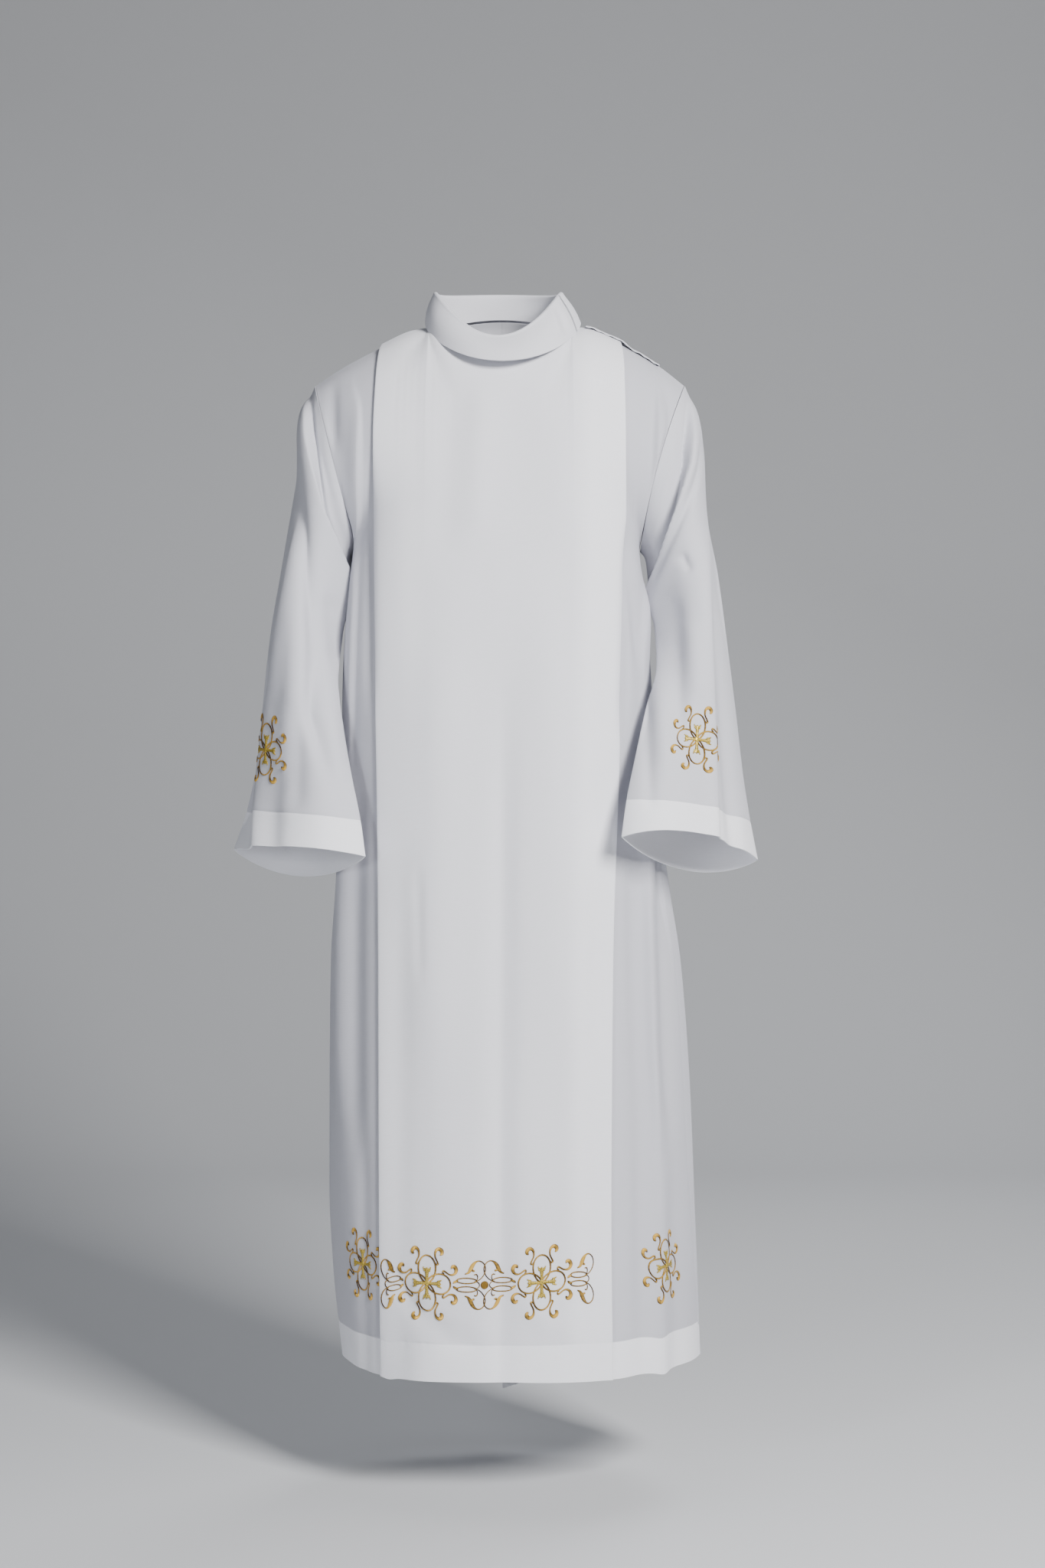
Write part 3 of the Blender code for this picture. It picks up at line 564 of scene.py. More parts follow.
def front_half(side, share, down):
    """Half of the front's lay. share is 0 on the centre line, 1 on the pleat line and 2 at the side."""
    row = section(side, down, ARMHOLE_FRONT, True)
    top_row = section(side, np.zeros_like(down), ARMHOLE_FRONT, True)
    top_pleat = along(LINES, "pleat_" + side, 0)
    _, pleat_top = top_edge(top_pleat, side, False)
    pleat = along(LINES, "pleat_" + side, pleat_top + (FRONT_HEM_DROP - pleat_top) * down)

    def angle(row, pleat):
        in_centre = angle_of(row, row.middle + (pleat - row.middle) * share)
        pleat_angle = angle_of(row, pleat)
        return np.where(share <= 1, in_centre, pleat_angle + (row.end - pleat_angle) * (share - 1))

    x0, _ = outline(top_row, angle(top_row, top_pleat), side_drop(side, 0), True)
    _, drop0 = top_edge(x0, side, False)
    hem = FRONT_HEM_DROP + (SIDE_HEM_DROP - FRONT_HEM_DROP) * smooth(share - 1)
    for dip in HEM_DIPS[side]:
        hem = hem + dip.low * np.exp(-(((share - dip.share) / dip.wide) ** 2))
    drop = drop0 + (hem - drop0) * down
    x, y = outline(row, angle(row, pleat), drop, True)
    y0 = edge_depth(x0, drop - drop0, False)
    return stack(x, y0 + (y - y0) * along(ROLL, "share", drop - drop0, "below"), drop)


def front_lay(share, down):
    """The front's lay. share runs from -2 at the right side over -1 and 1, the pleat lines, to 2."""
    share, down = np.broadcast_arrays(np.asarray(share, float), np.asarray(down, float))
    right, left = front_half("right", np.abs(share), down), front_half("left", np.abs(share), down)
    return np.where((share < 0)[..., None], right, left)


def back_half(side, share, down):
    """Half of the back's lay. share is 0 on the centre line and 1 at the side."""
    share, down = np.broadcast_arrays(np.asarray(share, float), np.asarray(down, float))
    row = section(side, down, ARMHOLE_BACK, False)
    top_row = section(side, np.zeros_like(down), ARMHOLE_BACK, False)
    x0, _ = outline(top_row, top_row.end * np.maximum(share, 0), side_drop(side, 0), False)
    _, drop0 = top_edge(x0, side, True)
    hem = SIDE_HEM_DROP + (BACK_HEM_DROP[side] - SIDE_HEM_DROP) * (1 - np.clip(share, 0, 1) ** 0.8)
    drop = drop0 + (hem - drop0) * down
    x, y = outline(row, row.end * np.maximum(share, 0), drop, False)
    y0 = edge_depth(x0, drop - drop0, True)
    return stack(x, y0 + (y - y0) * along(ROLL, "share", drop - drop0, "below"), drop)


print("front at the chest stands %.0f mm forward" % -front_lay(0, 0.2)[1])

# %% [markdown]
# The front is cut in one piece and pressed into two pleats: the side cloth runs in under the middle, turns
# back, and turns again at the edge that shows. So the grid's way across goes out, back and out, at three
# heights, with a small round bend at each turn. The pleats are stitched down over the chest, and the middle
# stands proud of the shoulder there. Modelled as real folds, they cast their own fine shadow lines.

# %% The front's way across its pleats
UNDERLAY = 38
LAYER = 2.1
PLEAT_SCALE = 154  # mm across for one step of the front's share
SIDE_SCALE = 100  # the same beyond the pleat, at its narrowest
CENTRE_LIFT = (0.08, 0.745)  # shares between which the middle rises over the cloth of its pleats
SHOULDER_SHARE = 0.6  # beyond it the upper edge is the shoulder seam
SIDE_COLUMNS, FOLD_COLUMNS, BEND_COLUMNS = 44, 8, 6
NECK_COLUMNS, MIDDLE_COLUMNS = 31, 26  # over half the neck's edge, and from there to a pleat
HOLE_ROWS, FALL_ROWS = 31, 92


def pleat_way():
    """The front's way across, from the right edge to the middle: shares, and heights above the lay."""
    bend = LAYER / 2 / PLEAT_SCALE
    under = 1 - UNDERLAY / PLEAT_SCALE
    between = list(np.linspace(1, under, FOLD_COLUMNS)[1:-1])
    share = list(np.linspace(2, 1, SIDE_COLUMNS)) + between
    height = [0.0] * len(share)
    turns = np.radians(np.linspace(-90, 90, BEND_COLUMNS))
    share += list(under - bend * np.cos(turns))
    height += list(LAYER / 2 + LAYER / 2 * np.sin(turns))
    share += between[::-1]
    height += [LAYER] * len(between)
    share += list(1 - bend + bend * np.cos(turns))
    height += list(1.5 * LAYER + LAYER / 2 * np.sin(turns))
    return share, height


def centre_lift(share):
    """How far the middle stands above the lay, over the cloth of its pleats."""
    return 2 * LAYER * smooth((np.abs(share) - CENTRE_LIFT[0]) / (CENTRE_LIFT[1] - CENTRE_LIFT[0]))


def centre_columns():
    """Shares across the middle: over the neck's edge, and out to both pleats."""
    turns = np.radians(np.linspace(-90, 90, 2 * NECK_COLUMNS - 1))
    neck = COLLAR_SEAM.middle + COLLAR_SEAM.half * np.sin(turns)
    middle = along(BODY, "middle", ARMHOLES["left"].tip_drop)
    pleat = np.where(neck > middle, along(LINES, "pleat_left", 0), -along(LINES, "pleat_right", 0))
    inner = (neck - middle) / (pleat - np.sign(neck - middle) * middle)
    ends = np.linspace(inner[-1], 1 - 2 * LAYER / PLEAT_SCALE, MIDDLE_COLUMNS)[1:]
    return np.concatenate([-ends[::-1], inner, ends])


def upright_seam(n, at_seam):
    """At a seam over the shoulder the wall's edge stands in the seam's own plane."""
    level = np.where(at_seam[..., None], n * np.array([1, 0, 1]), n)
    return level / np.linalg.norm(level, axis=-1, keepdims=True)


def underarm_straight(n, down, at_side, way):
    """Where the side seam starts, under the arm, both of its edges face straight out to the side."""
    at_underarm = (np.abs(down - UNDERARM) < 1e-6) & at_side
    return np.where(at_underarm[..., None], np.array([way, 0.0, 0.0]), n)


def body_rows(hem_share):
    """Shares down the body: close round the armhole, even to the hem, and a step where the hem starts."""
    hole = UNDERARM * (1 - np.cos(np.linspace(0, np.pi, HOLE_ROWS))) / 2
    fall = np.linspace(UNDERARM, 1, FALL_ROWS)[1:]
    step = 0.0005
    rows = np.concatenate([hole, fall, [hem_share - 4 * step, hem_share - step, hem_share + step]])
    return np.unique(rows)


print("middle of %d columns between pleats of %d" % (len(centre_columns()), len(pleat_way()[0])))

# %% [markdown]
# The front's own creases: the middle was folded for storage and keeps a pressed line from the waist to the
# hem. One long fold falls from the wearer's left shoulder to a cusp in the hem, and each pleat opens a
# little under the arm.

# %% The front's creases
LEFT_LONG_FOLD = [(185, 400), (187, 640), (190, 787), (192, 868), (194, 932), (199, 1008), (206, 1150)]
RIGHT_LONG_FOLD = [(-191, 50), (-189, 85), (-180, 111), (-179, 152), (-181, 270), (-184, 354)]
RIGHT_LONG_FOLD += [(-188, 454), (-192, 600)]
FRONT_CREASES = [
    Crease([(4, 410), (3, 700), (2, 950), (2, 1460)], 3.5, -1.2, True),
    Crease([(8, 400), (5, 700), (3, 1100), (3, 1460)], 17, -6.0, False),
    Crease([(-99, 690), (-98, 770), (-96, 850)], 7, -1.4, False),
    Crease([(62, 330), (70, 620), (74, 1000)], 38, 5.5, False),
    Crease([(-70, 360), (-82, 640), (-84, 1000)], 40, 5.0, False),
    Crease([(163, 250), (158, 400), (153, 560)], 7, -5.5, False),
    Crease([(163, 250), (172, 350), (184, 470)], 8, -6.0, False),
    Crease([(206, 40), (202, 134), (200, 185), (193, 280), (188, 354), (185, 480)], 2.6, 6.5, False, 17),
    Crease(LEFT_LONG_FOLD, 5, 8.0, False, 17),
    Crease([(207, 1040), (207, 1114), (206, 1250), (206, 1460)], 12, 3.6, False, 10),
    Crease([(203, 560), (207, 800), (212, 950), (220, 1100)], 12, -8.0, False),
    Crease([(222, 1040), (228, 1180), (228, 1460)], 13, -4.0, False),
    Crease([(168, 560), (172, 800), (178, 1000), (181, 1400)], 12, -5.0, False),
    Crease([(210, 70), (216, 104), (218, 122), (216, 150)], 5, -3.0, False),
    Crease([(-216, 60), (-215, 106), (-212, 170)], 8, -4.5, False),
    Crease(RIGHT_LONG_FOLD, 15, 6.0, False, 2.6),
    Crease([(-166, 150), (-164, 330), (-162, 520)], 8, -4.5, False),
    Crease([(-198, 500), (-203, 660), (-206, 860), (-207, 1060)], 6, 5.0, False, 14),
    Crease([(-180, 560), (-184, 760), (-183, 960), (-180, 1120)], 12, -6.0, False),
    Crease([(-172, 1000), (-171, 1130), (-168, 1460)], 8, -2.5, False),
    Crease([(120, 560), (128, 900), (126, 1460)], 18, -3.6, False),
    Crease([(-118, 620), (-124, 1000), (-120, 1460)], 20, -3.6, False),
    Crease([(20, 1225), (60, 1262), (110, 1275)], 13, 2.4, False),
    Crease([(-134, 1196), (-105, 1245), (-60, 1280), (-4, 1292)], 11, -3.4, False),
    Crease([(52, 70), (72, 150), (84, 330)], 24, 2.6, False),
    Crease([(-46, 60), (-62, 150), (-72, 330)], 22, -2.8, False),
    Crease([(-20, 70), (-24, 160), (-30, 300)], 18, 2.0, False),
]
FRONT_HEM_SHARE = 1 - HEM / BODY_LENGTH
STITCH_WIDE = 2.0  # mm to each side that the cloth sinks at a hem's stitches


def stitch_line(down, at_share, length):
    """How near a place is to a hem's stitches: 1 on the line, and soon 0 beside it."""
    return np.exp(-(((down - at_share) * length / STITCH_WIDE) ** 2))


def front_folds(share, down):
    """The height of the front's creases and unevenness."""
    lay = front_lay(share, down)
    x, drop = lay[..., 0], -lay[..., 2]
    high = crease_height(FRONT_CREASES, x, drop) + ripples(x, drop, 95, 0.35, 3)
    stitch = stitch_line(down, FRONT_HEM_SHARE, FRONT_HEM_DROP)
    pucker = 0.35 + 0.25 * np.sin(x * 0.55) * np.sin(x * 0.13 + 1)
    return (high - stitch * pucker) * smooth(down / 0.05) * smooth((2 - np.abs(share)) / 0.10)


def front_point(share, down, above):
    """A place over the front's cloth: `above` is in mm from the middle of its wall."""
    n = normals(front_lay, share, down, -1)
    return front_lay(share, down) + n * (above + front_folds(share, down))[..., None]


def front_panel():
    """The front in one piece, its pleats folded in under the middle."""
    share, height = pleat_way()
    centre = centre_columns()
    across = np.concatenate([-np.array(share), centre, share[::-1]]) * PLEAT_SCALE
    height = np.concatenate([height, centre_lift(centre), height[::-1]])
    run = np.gradient(np.stack([across, height], axis=-1), axis=0)
    run[0] = run[-1] = (1, 0)
    run /= np.linalg.norm(run, axis=-1, keepdims=True)
    facing = np.stack([-run[:, 1], run[:, 0]], axis=-1)
    down = body_rows(FRONT_HEM_SHARE)
    extra = np.where(down > FRONT_HEM_SHARE, HEM_CLOTH, 0.0)
    # The hem's second layer thickens the wall only where the cloth lies open, since the pleats leave no room.
    open_side = (np.abs(height) < 0.01) & (np.abs(across) > PLEAT_SCALE * 0.99)
    open_middle = np.abs(across) < PLEAT_SCALE * 0.72
    shown = open_side | open_middle
    faces = []
    for distance in (-1, 1):
        reach = CLOTH / 2 + extra[:, None] * shown[None, :] * (distance < 0)
        s = np.clip((across + distance * reach * facing[:, 0]) / PLEAT_SCALE, -2, 2)
        s = np.where(np.abs(s) > 1.9999, np.sign(s) * (2 - SEAM_GAP / 2 / SIDE_SCALE), s)
        d = np.broadcast_to(down[:, None], s.shape)
        n = upright_seam(normals(front_lay, s, d, -1), (d == 0) & (np.abs(s) > SHOULDER_SHARE))
        for way in (-1, 1):
            n = underarm_straight(n, d, s * way > 1.99, way)
        above = height + distance * reach * facing[:, 1]
        points = front_lay(s, d) + n * (above + front_folds(s, d))[..., None]
        points[0, :, 1] = np.where(np.abs(s[0]) > SHOULDER_SHARE, -SEAM_GAP / 2, points[0, :, 1])
        faces.append(points)
    doubled_and_lit = np.where(down > FRONT_HEM_SHARE, 1.0, 0.0)[:, None]
    over_pleat = smooth((np.abs(across) / PLEAT_SCALE - 0.55) / 0.2) * (height > 1.5 * LAYER)
    # The middle's whiter share is partly its layers and partly painted light on the chest.
    in_middle = np.where(np.abs(across) < PLEAT_SCALE, DOUBLED_AND_LIT["middle"], 0.0)
    doubled_and_lit = np.maximum(doubled_and_lit, in_middle + DOUBLED_AND_LIT["over_pleat"] * over_pleat)
    lengths = cloth_lengths(faces[1])
    return cloth_wall("front_cloth", faces[0], faces[1], lengths, doubled_and_lit, robe_cloth)


front_cloth = front_panel()

# %% [markdown]
# The back is two halves with a seam down the middle that ends in a vent above the hem: one corner of it
# shows below the front's hem in the view from in front. Nobody sees the rest, so its folds are like the
# front's, uneven in length and depth, and none is copied from side to side.

# %% The back's halves
BACK_CREASES = {
    "right": [
        Crease([(-30, 120), (-44, 420), (-52, 900), (-50, 1500)], 16, 7.2, False),
        Crease([(-74, 100), (-88, 380), (-98, 800), (-100, 1500)], 17, -10.8, False),
        Crease([(-122, 110), (-134, 420), (-146, 900), (-146, 1500)], 15, 8.4, False),
        Crease([(-160, 330), (-172, 700), (-176, 1100), (-172, 1500)], 12, -7.2, False),
        Crease([(-56, 60), (-92, 130), (-150, 230)], 12, -4.2, False),
        Crease([(-20, 640), (-26, 900), (-24, 1180)], 9, -3.6, False),
    ],
    "left": [
        Crease([(40, 110), (56, 430), (66, 900), (70, 1500)], 17, -9.6, False),
        Crease([(88, 120), (104, 470), (120, 900), (126, 1500)], 16, 8.4, False),
        Crease([(136, 130), (152, 520), (172, 900), (180, 1500)], 15, -9.6, False),
        Crease([(166, 420), (186, 760), (206, 1150), (212, 1500)], 12, 6.0, False),
        Crease([(50, 70), (96, 140), (156, 260)], 12, -3.6, False),
        Crease([(22, 820), (28, 1050), (26, 1330)], 9, 3.6, False),
    ],
}
BACK_COLUMNS = 72
SEAM_SCALE, BACK_SIDE_SCALE = 240, 300  # mm for one step of the back's share, at the seam and the side


def back_panel(side):
    """One half of the back, from the middle seam to the side seam."""
    top_row = section(side, np.zeros(1), ARMHOLE_BACK, False)
    turns = np.radians(np.linspace(0, 90, NECK_COLUMNS))
    neck = COLLAR_SEAM.middle + SIDES[side] * COLLAR_SEAM.half * np.sin(turns)
    inner = np.array([float(angle_of(top_row, x)[0] / top_row.end[0]) for x in neck])
    share = np.concatenate([inner, np.linspace(inner[-1], 1, BACK_COLUMNS)[1:]])
    share[0], share[-1] = SEAM_GAP / 2 / SEAM_SCALE, 1 - SEAM_GAP / 2 / BACK_SIDE_SCALE
    hem_share = 1 - HEM / (BACK_HEM_DROP[side] + 10)
    down = body_rows(hem_share)
    s, d = np.meshgrid(share, down)

    def lay_at(s, d):
        return back_half(side, s, d)

    n = upright_seam(normals(lay_at, s, d, SIDES[side]), (d == 0) & (s >= inner[-1] - 1e-6))
    n = underarm_straight(n, d, s > 0.99, SIDES[side])
    n[:, 0] *= np.array([0, 1, 1])
    n /= np.linalg.norm(n, axis=-1, keepdims=True)
    lay = lay_at(s, d)
    x, drop = lay[..., 0], -lay[..., 2]
    high = crease_height(BACK_CREASES[side], x, drop) + ripples(x, drop, 105, 0.4, 5 + SIDES[side])
    high -= 0.4 * stitch_line(d, hem_share, BACK_HEM_DROP[side])
    high = (high * smooth(d / 0.08) * smooth(s / 0.06) * smooth((1 - s) / 0.10))[..., None]
    lay[:, 0, 0] = COLLAR_SEAM.middle + SIDES[side] * SEAM_GAP / 2
    extra = np.where(down > hem_share, HEM_CLOTH, 0.0)[:, None, None]
    inside, outside = lay + n * (high - CLOTH / 2 - extra), lay + n * (high + CLOTH / 2)
    for face in (inside, outside):
        face[0, NECK_COLUMNS - 1 :, 1] = SEAM_GAP / 2
    doubled_and_lit = np.broadcast_to(np.where(down > hem_share, 1.0, DOUBLED_AND_LIT["back"])[:, None], s.shape)
    name = "back_cloth_" + side
    return cloth_wall(name, inside, outside, cloth_lengths(outside), doubled_and_lit, robe_cloth)


back_cloths = {side: back_panel(side) for side in SIDES}

# %% [markdown]
# A sleeve is a tube that starts as the armhole's own ring and widens into a bell. Its outer line is
# pressed, and the cuff turns up inside in a deep hem. The ring is a share round, 0 on the outer line and 1
# under the arm; a power on each end of that share makes one end round and the other folded.

# %% The sleeves' surface
# The sleeves' rings: outer pressed line, underarm line, depth in front and behind, roundness of the outer
# line, and how far the cuff rises in front and sags behind.
Ring = namedtuple("Ring", "share out_x out_y out_drop in_x in_y in_drop front back crease lift sag")
SLEEVES = {
    "right": [
        Ring(0.00, -240, 0, 76, -184, 0, 292, 66, 68, 0.50, 0, 0),
        Ring(0.07, -256, 0, 118, -191, -2, 302, 67, 72, 0.50, 0, 0),
        Ring(0.15, -261, 0, 170, -195, -5, 322, 68, 76, 0.52, 0, 0),
        Ring(0.25, -271, -3, 235, -198, -12, 352, 69, 80, 0.55, 0, 0),
        Ring(0.37, -285, -7, 320, -204, -25, 402, 68, 84, 0.60, 0, 0),
        Ring(0.50, -300, -14, 415, -208, -52, 460, 62, 84, 0.66, 0, 0),
        Ring(0.63, -308, -21, 500, -199, -76, 525, 57, 80, 0.72, 0, 0),
        Ring(0.76, -315, -28, 572, -187, -104, 585, 54, 74, 0.78, 0, 2),
        Ring(0.88, -327, -33, 630, -175, -120, 640, 58, 68, 0.82, 4, 12),
        Ring(1.00, -343, -38, 679, -168, -134, 685, 60, 64, 0.85, 10, 32),
    ],
    "left": [
        Ring(0.00, 240, 0, 76, 181, 0, 292, 66, 68, 0.50, 0, 0),
        Ring(0.07, 257, 0, 120, 188, -2, 301, 67, 72, 0.50, 0, 0),
        Ring(0.15, 266, 0, 172, 192, -5, 320, 68, 76, 0.52, 0, 0),
        Ring(0.25, 269, -3, 238, 195, -12, 350, 69, 80, 0.55, 0, 0),
        Ring(0.37, 284, -7, 323, 201, -25, 392, 68, 84, 0.60, 0, 0),
        Ring(0.50, 297, -14, 425, 203, -54, 442, 62, 84, 0.66, 0, 0),
        Ring(0.63, 307, -21, 510, 188, -88, 494, 56, 80, 0.72, 0, 0),
        Ring(0.76, 315, -28, 584, 172, -122, 560, 52, 74, 0.78, 2, 2),
        Ring(0.88, 324, -33, 643, 160, -147, 614, 50, 68, 0.82, 10, 12),
        Ring(1.00, 333, -38, 692, 153, -162, 660, 52, 64, 0.85, 22, 30),
    ],
}
UNDERARM_FOLD = 0.9  # below 1, the sleeve's edge under the arm is folded
ARMHOLE_REACH = 0.22  # how far down the sleeve the armhole's own shape carries


def armhole_ring(side, turn):
    """The armhole's own point, turn running from -1 over 0 at the tip to 1 round its front."""
    share = (1 - np.cos(np.pi * np.abs(turn))) / 2
    down = np.minimum(UNDERARM * share, UNDERARM - 1e-9)
    fore = front_half(side, np.full_like(down, 2.0), down)
    aft = back_half(side, np.full_like(down, 1.0), down)
    ring = np.where((turn > 0)[..., None], fore, aft)
    # The sleeve starts a little outside the body's own edge, and most under the arm.
    toward_tip = np.cos(np.pi * turn)
    ease = 0.5 + 0.6 * np.maximum(toward_tip, 0) ** 2 + 1.7 * np.maximum(-toward_tip, 0) ** 2
    ring[..., 0] += SIDES[side] * ease
    return ring


def sleeve_surface(side, turn, down):
    """A sleeve's middle surface. turn is 0 on the outer line, 1 and -1 under the arm, plus in front."""
    turn, down = np.broadcast_arrays(np.asarray(turn, float), np.asarray(down, float))
    turn = (turn + 1) % 2 - 1
    inward = (1 - np.cos(np.pi * turn)) / 2

    def ring(share):
        def at(name):
            return along(SLEEVES[side], name, share, "share")

        outer = stack(at("out_x"), at("out_y"), at("out_drop"))
        inner = stack(at("in_x"), at("in_y"), at("in_drop"))
        crease = at("crease")
        peak = crease / (crease + UNDERARM_FOLD)
        bulge = inward**crease * (1 - inward) ** UNDERARM_FOLD
        bulge = bulge / (peak**crease * (1 - peak) ** UNDERARM_FOLD)
        points = outer + (inner - outer) * inward[..., None]
        points[..., 1] += np.where(turn > 0, -at("front"), at("back")) * bulge
        points[..., 2] += np.where(turn > 0, at("lift"), -at("sag")) * bulge
        return points

    start = armhole_ring(side, turn) - ring(np.zeros_like(down))
    return ring(down) + start * (1 - smooth(down / ARMHOLE_REACH))[..., None]


cuff_corners = sleeve_surface("left", 0.0, 1.0), sleeve_surface("left", 1.0, 1.0)
print("cuff %.0f mm from corner to corner" % np.linalg.norm(cuff_corners[0] - cuff_corners[1]))

# %% [markdown]
# The arms are held a little away from the body, so the cloth pulls in long diagonal folds from the
# armhole's tip to the elbow, and hangs in broad soft ones below it. The pressed outer line shows as an edge
# beside the silhouette: behind it the sleeve turns away.

# %% The sleeves' creases
SLEEVE_LENGTH = 650
CUFF_SHARE = 0.88  # where the cuff's hem starts
SLEEVE_COLUMNS, START_ROWS, SLEEVE_ROWS = 201, 24, 116
START_SHARE = 0.12  # down to it the rows lie closer
# The two long diagonal folds, each with a narrow dark foot on the side towards the body.
RIGHT_FOLD = [(-250, 50), (-248, 106), (-245, 138), (-240, 173), (-233, 215), (-227, 247), (-216, 278)]
RIGHT_FOLD += [(-198, 335), (-186, 386), (-172, 470)]
LEFT_FOLD = [(246, 60), (246, 141), (242, 183), (226, 247), (213, 290), (199, 332), (188, 384), (181, 429)]
LEFT_FOLD += [(172, 510)]
RIGHT_PRESSED = [(-256, 220), (-273, 346), (-285, 414), (-292, 465), (-300, 498), (-304, 543), (-307, 576)]
RIGHT_PRESSED += [(-310, 630), (-312, 760)]
RIGHT_TROUGH = [(-262, 170), (-255, 240), (-248, 300), (-240, 360), (-234, 430), (-238, 505), (-216, 570)]
LEFT_PRESSED = [(262, 180), (265, 268), (266, 332), (269, 473), (271, 530), (273, 625), (276, 760)]


def beside(path, right):
    """A path moved sideways, plus to the picture's right."""
    return [(x + right, drop) for x, drop in path]


SLEEVE_CREASES = {
    "right": [
        Crease(RIGHT_FOLD, 17, 12.0, False, 1.8),
        Crease(beside(RIGHT_FOLD, 5), 2.6, -5.0, False),
        Crease([(-236, 110), (-230, 170), (-218, 225), (-208, 268), (-192, 330)], 7, -3.0, False),
        Crease(RIGHT_TROUGH + [(-200, 620)], 11, -9.0, False),
        Crease([(-222, 345), (-215, 385), (-208, 450)], 9, -4.0, False),
        Crease([(-262, 330), (-262, 440), (-266, 560)], 15, 4.0, False),
        Crease([(-216, 440), (-212, 520), (-204, 600)], 13, 4.0, False),
        Crease([(-258, 480), (-254, 560), (-256, 640)], 13, -4.0, False),
        Crease(RIGHT_PRESSED, 3.4, 6.5, False, 13),
        Crease([(-290, 380), (-302, 465), (-313, 530), (-322, 620), (-332, 760)], 7, -6.0, False),
        Crease([(-276, 560), (-284, 620), (-284, 740)], 12, -3.0, False),
    ],
    "left": [
        Crease(LEFT_FOLD, 1.9, 11.0, False, 13),
        Crease(beside(LEFT_FOLD, -5), 2.6, -4.5, False),
        Crease([(240, 110), (234, 180), (217, 250), (203, 300), (190, 350)], 8, -6.5, False),
        Crease([(259, 130), (254, 190), (236, 247), (219, 290), (203, 332), (192, 380)], 5, -5.5, False),
        Crease([(232, 298), (238, 312), (247, 322)], 6, -4.5, False),
        Crease(LEFT_PRESSED, 13, 6.0, False, 3.2),
        Crease([(276, 260), (284, 430), (292, 560), (304, 760)], 10, -8.0, False),
        Crease([(222, 330), (224, 430), (232, 560)], 13, -6.5, False),
        Crease([(204, 400), (204, 480), (208, 600)], 12, 5.0, False),
        Crease([(246, 380), (250, 450), (252, 500)], 12, 4.0, False),
        Crease([(186, 470), (186, 540), (190, 640)], 9, -4.0, False),
    ],
}
SLEEVE_BACK_CREASES = {
    "right": [
        Crease([(-238, 110), (-228, 220), (-206, 340), (-196, 420)], 11, -5.0, False),
        Crease([(-262, 150), (-258, 300), (-246, 440)], 14, 4.0, False),
        Crease([(-282, 320), (-286, 460), (-296, 620)], 13, -4.0, False),
        Crease([(-250, 430), (-254, 540), (-262, 660)], 14, 3.4, False),
        Crease([(-222, 420), (-222, 520), (-226, 640)], 12, -4.4, False),
    ],
    "left": [
        Crease([(240, 120), (226, 240), (202, 350), (190, 430)], 12, -5.0, False),
        Crease([(262, 160), (256, 290), (240, 430)], 12, 4.4, False),
        Crease([(284, 340), (292, 480), (304, 640)], 13, -3.6, False),
        Crease([(246, 440), (252, 560), (258, 680)], 13, 3.4, False),
        Crease([(214, 430), (210, 530), (212, 630)], 12, -4.0, False),
    ],
}


def sleeve_folds(side, turn, down):
    """The height of a sleeve's creases and unevenness."""
    lay = sleeve_surface(side, turn, down)
    x, drop = lay[..., 0], -lay[..., 2]
    fore = crease_height(SLEEVE_CREASES[side], x, drop)
    aft = crease_height(SLEEVE_BACK_CREASES[side], x, drop)
    turn = (turn + 1) % 2 - 1
    high = np.where(turn > 0, fore * smooth(turn / 0.06), aft * smooth(-turn / 0.10))
    high = high + ripples(x, drop, 80, 0.3, 11 + SIDES[side]) * smooth(np.abs(turn) / 0.1)
    stitch = stitch_line(down, CUFF_SHARE, SLEEVE_LENGTH) * 0.5
    return (high - stitch) * smooth((1 - np.abs(turn)) / 0.12) * smooth(down / 0.05)


def sleeve_point(side, turn, down, above):
    """A place over a sleeve's cloth: `above` is in mm from the middle of its wall."""
    def lay_at(t, d):
        return sleeve_surface(side, t, d)

    at_line = np.where(np.abs(turn) < 1e-6, 1e-4, turn)
    n = normals(lay_at, at_line, np.minimum(down, 0.9999), SIDES[side])
    return lay_at(turn, down) + n * (above + sleeve_folds(side, turn, down))[..., None]


def sleeve_panel(side):
    """A bell sleeve, a tube from the armhole to the cuff."""
    step = 0.0008
    start = np.linspace(0, START_SHARE, START_ROWS)
    down = np.concatenate([start, np.linspace(START_SHARE, 1, SLEEVE_ROWS)[1:]])
    down = np.unique(np.concatenate([down, [CUFF_SHARE - 4 * step, CUFF_SHARE - step, CUFF_SHARE + step]]))
    turn, down = np.meshgrid(np.linspace(-1, 1, SLEEVE_COLUMNS), down)
    extra = np.where(down > CUFF_SHARE, HEM_CLOTH, 0.0)
    inside = sleeve_point(side, turn, down, -CLOTH / 2 - extra)
    outside = sleeve_point(side, turn, down, np.full(down.shape, CLOTH / 2))
    doubled_and_lit = np.where(down > CUFF_SHARE, 1.0, DOUBLED_AND_LIT["sleeve"])
    name = "sleeve_cloth_" + side
    return cloth_wall(name, inside, outside, cloth_lengths(outside), doubled_and_lit, robe_cloth, tube=True)


sleeve_cloths = {side: sleeve_panel(side) for side in SIDES}

# %% [markdown]
# The collar is a stiffened strip that stands up from the neck's seam and turns down over itself, like a
# tube cut open. Three rings hold it: the seam, the turned edge and the edge of the fall. It opens on the
# wearer's left shoulder, where a hidden fastening runs out along the shoulder under a narrow strip, and a
# thread loop closes it.

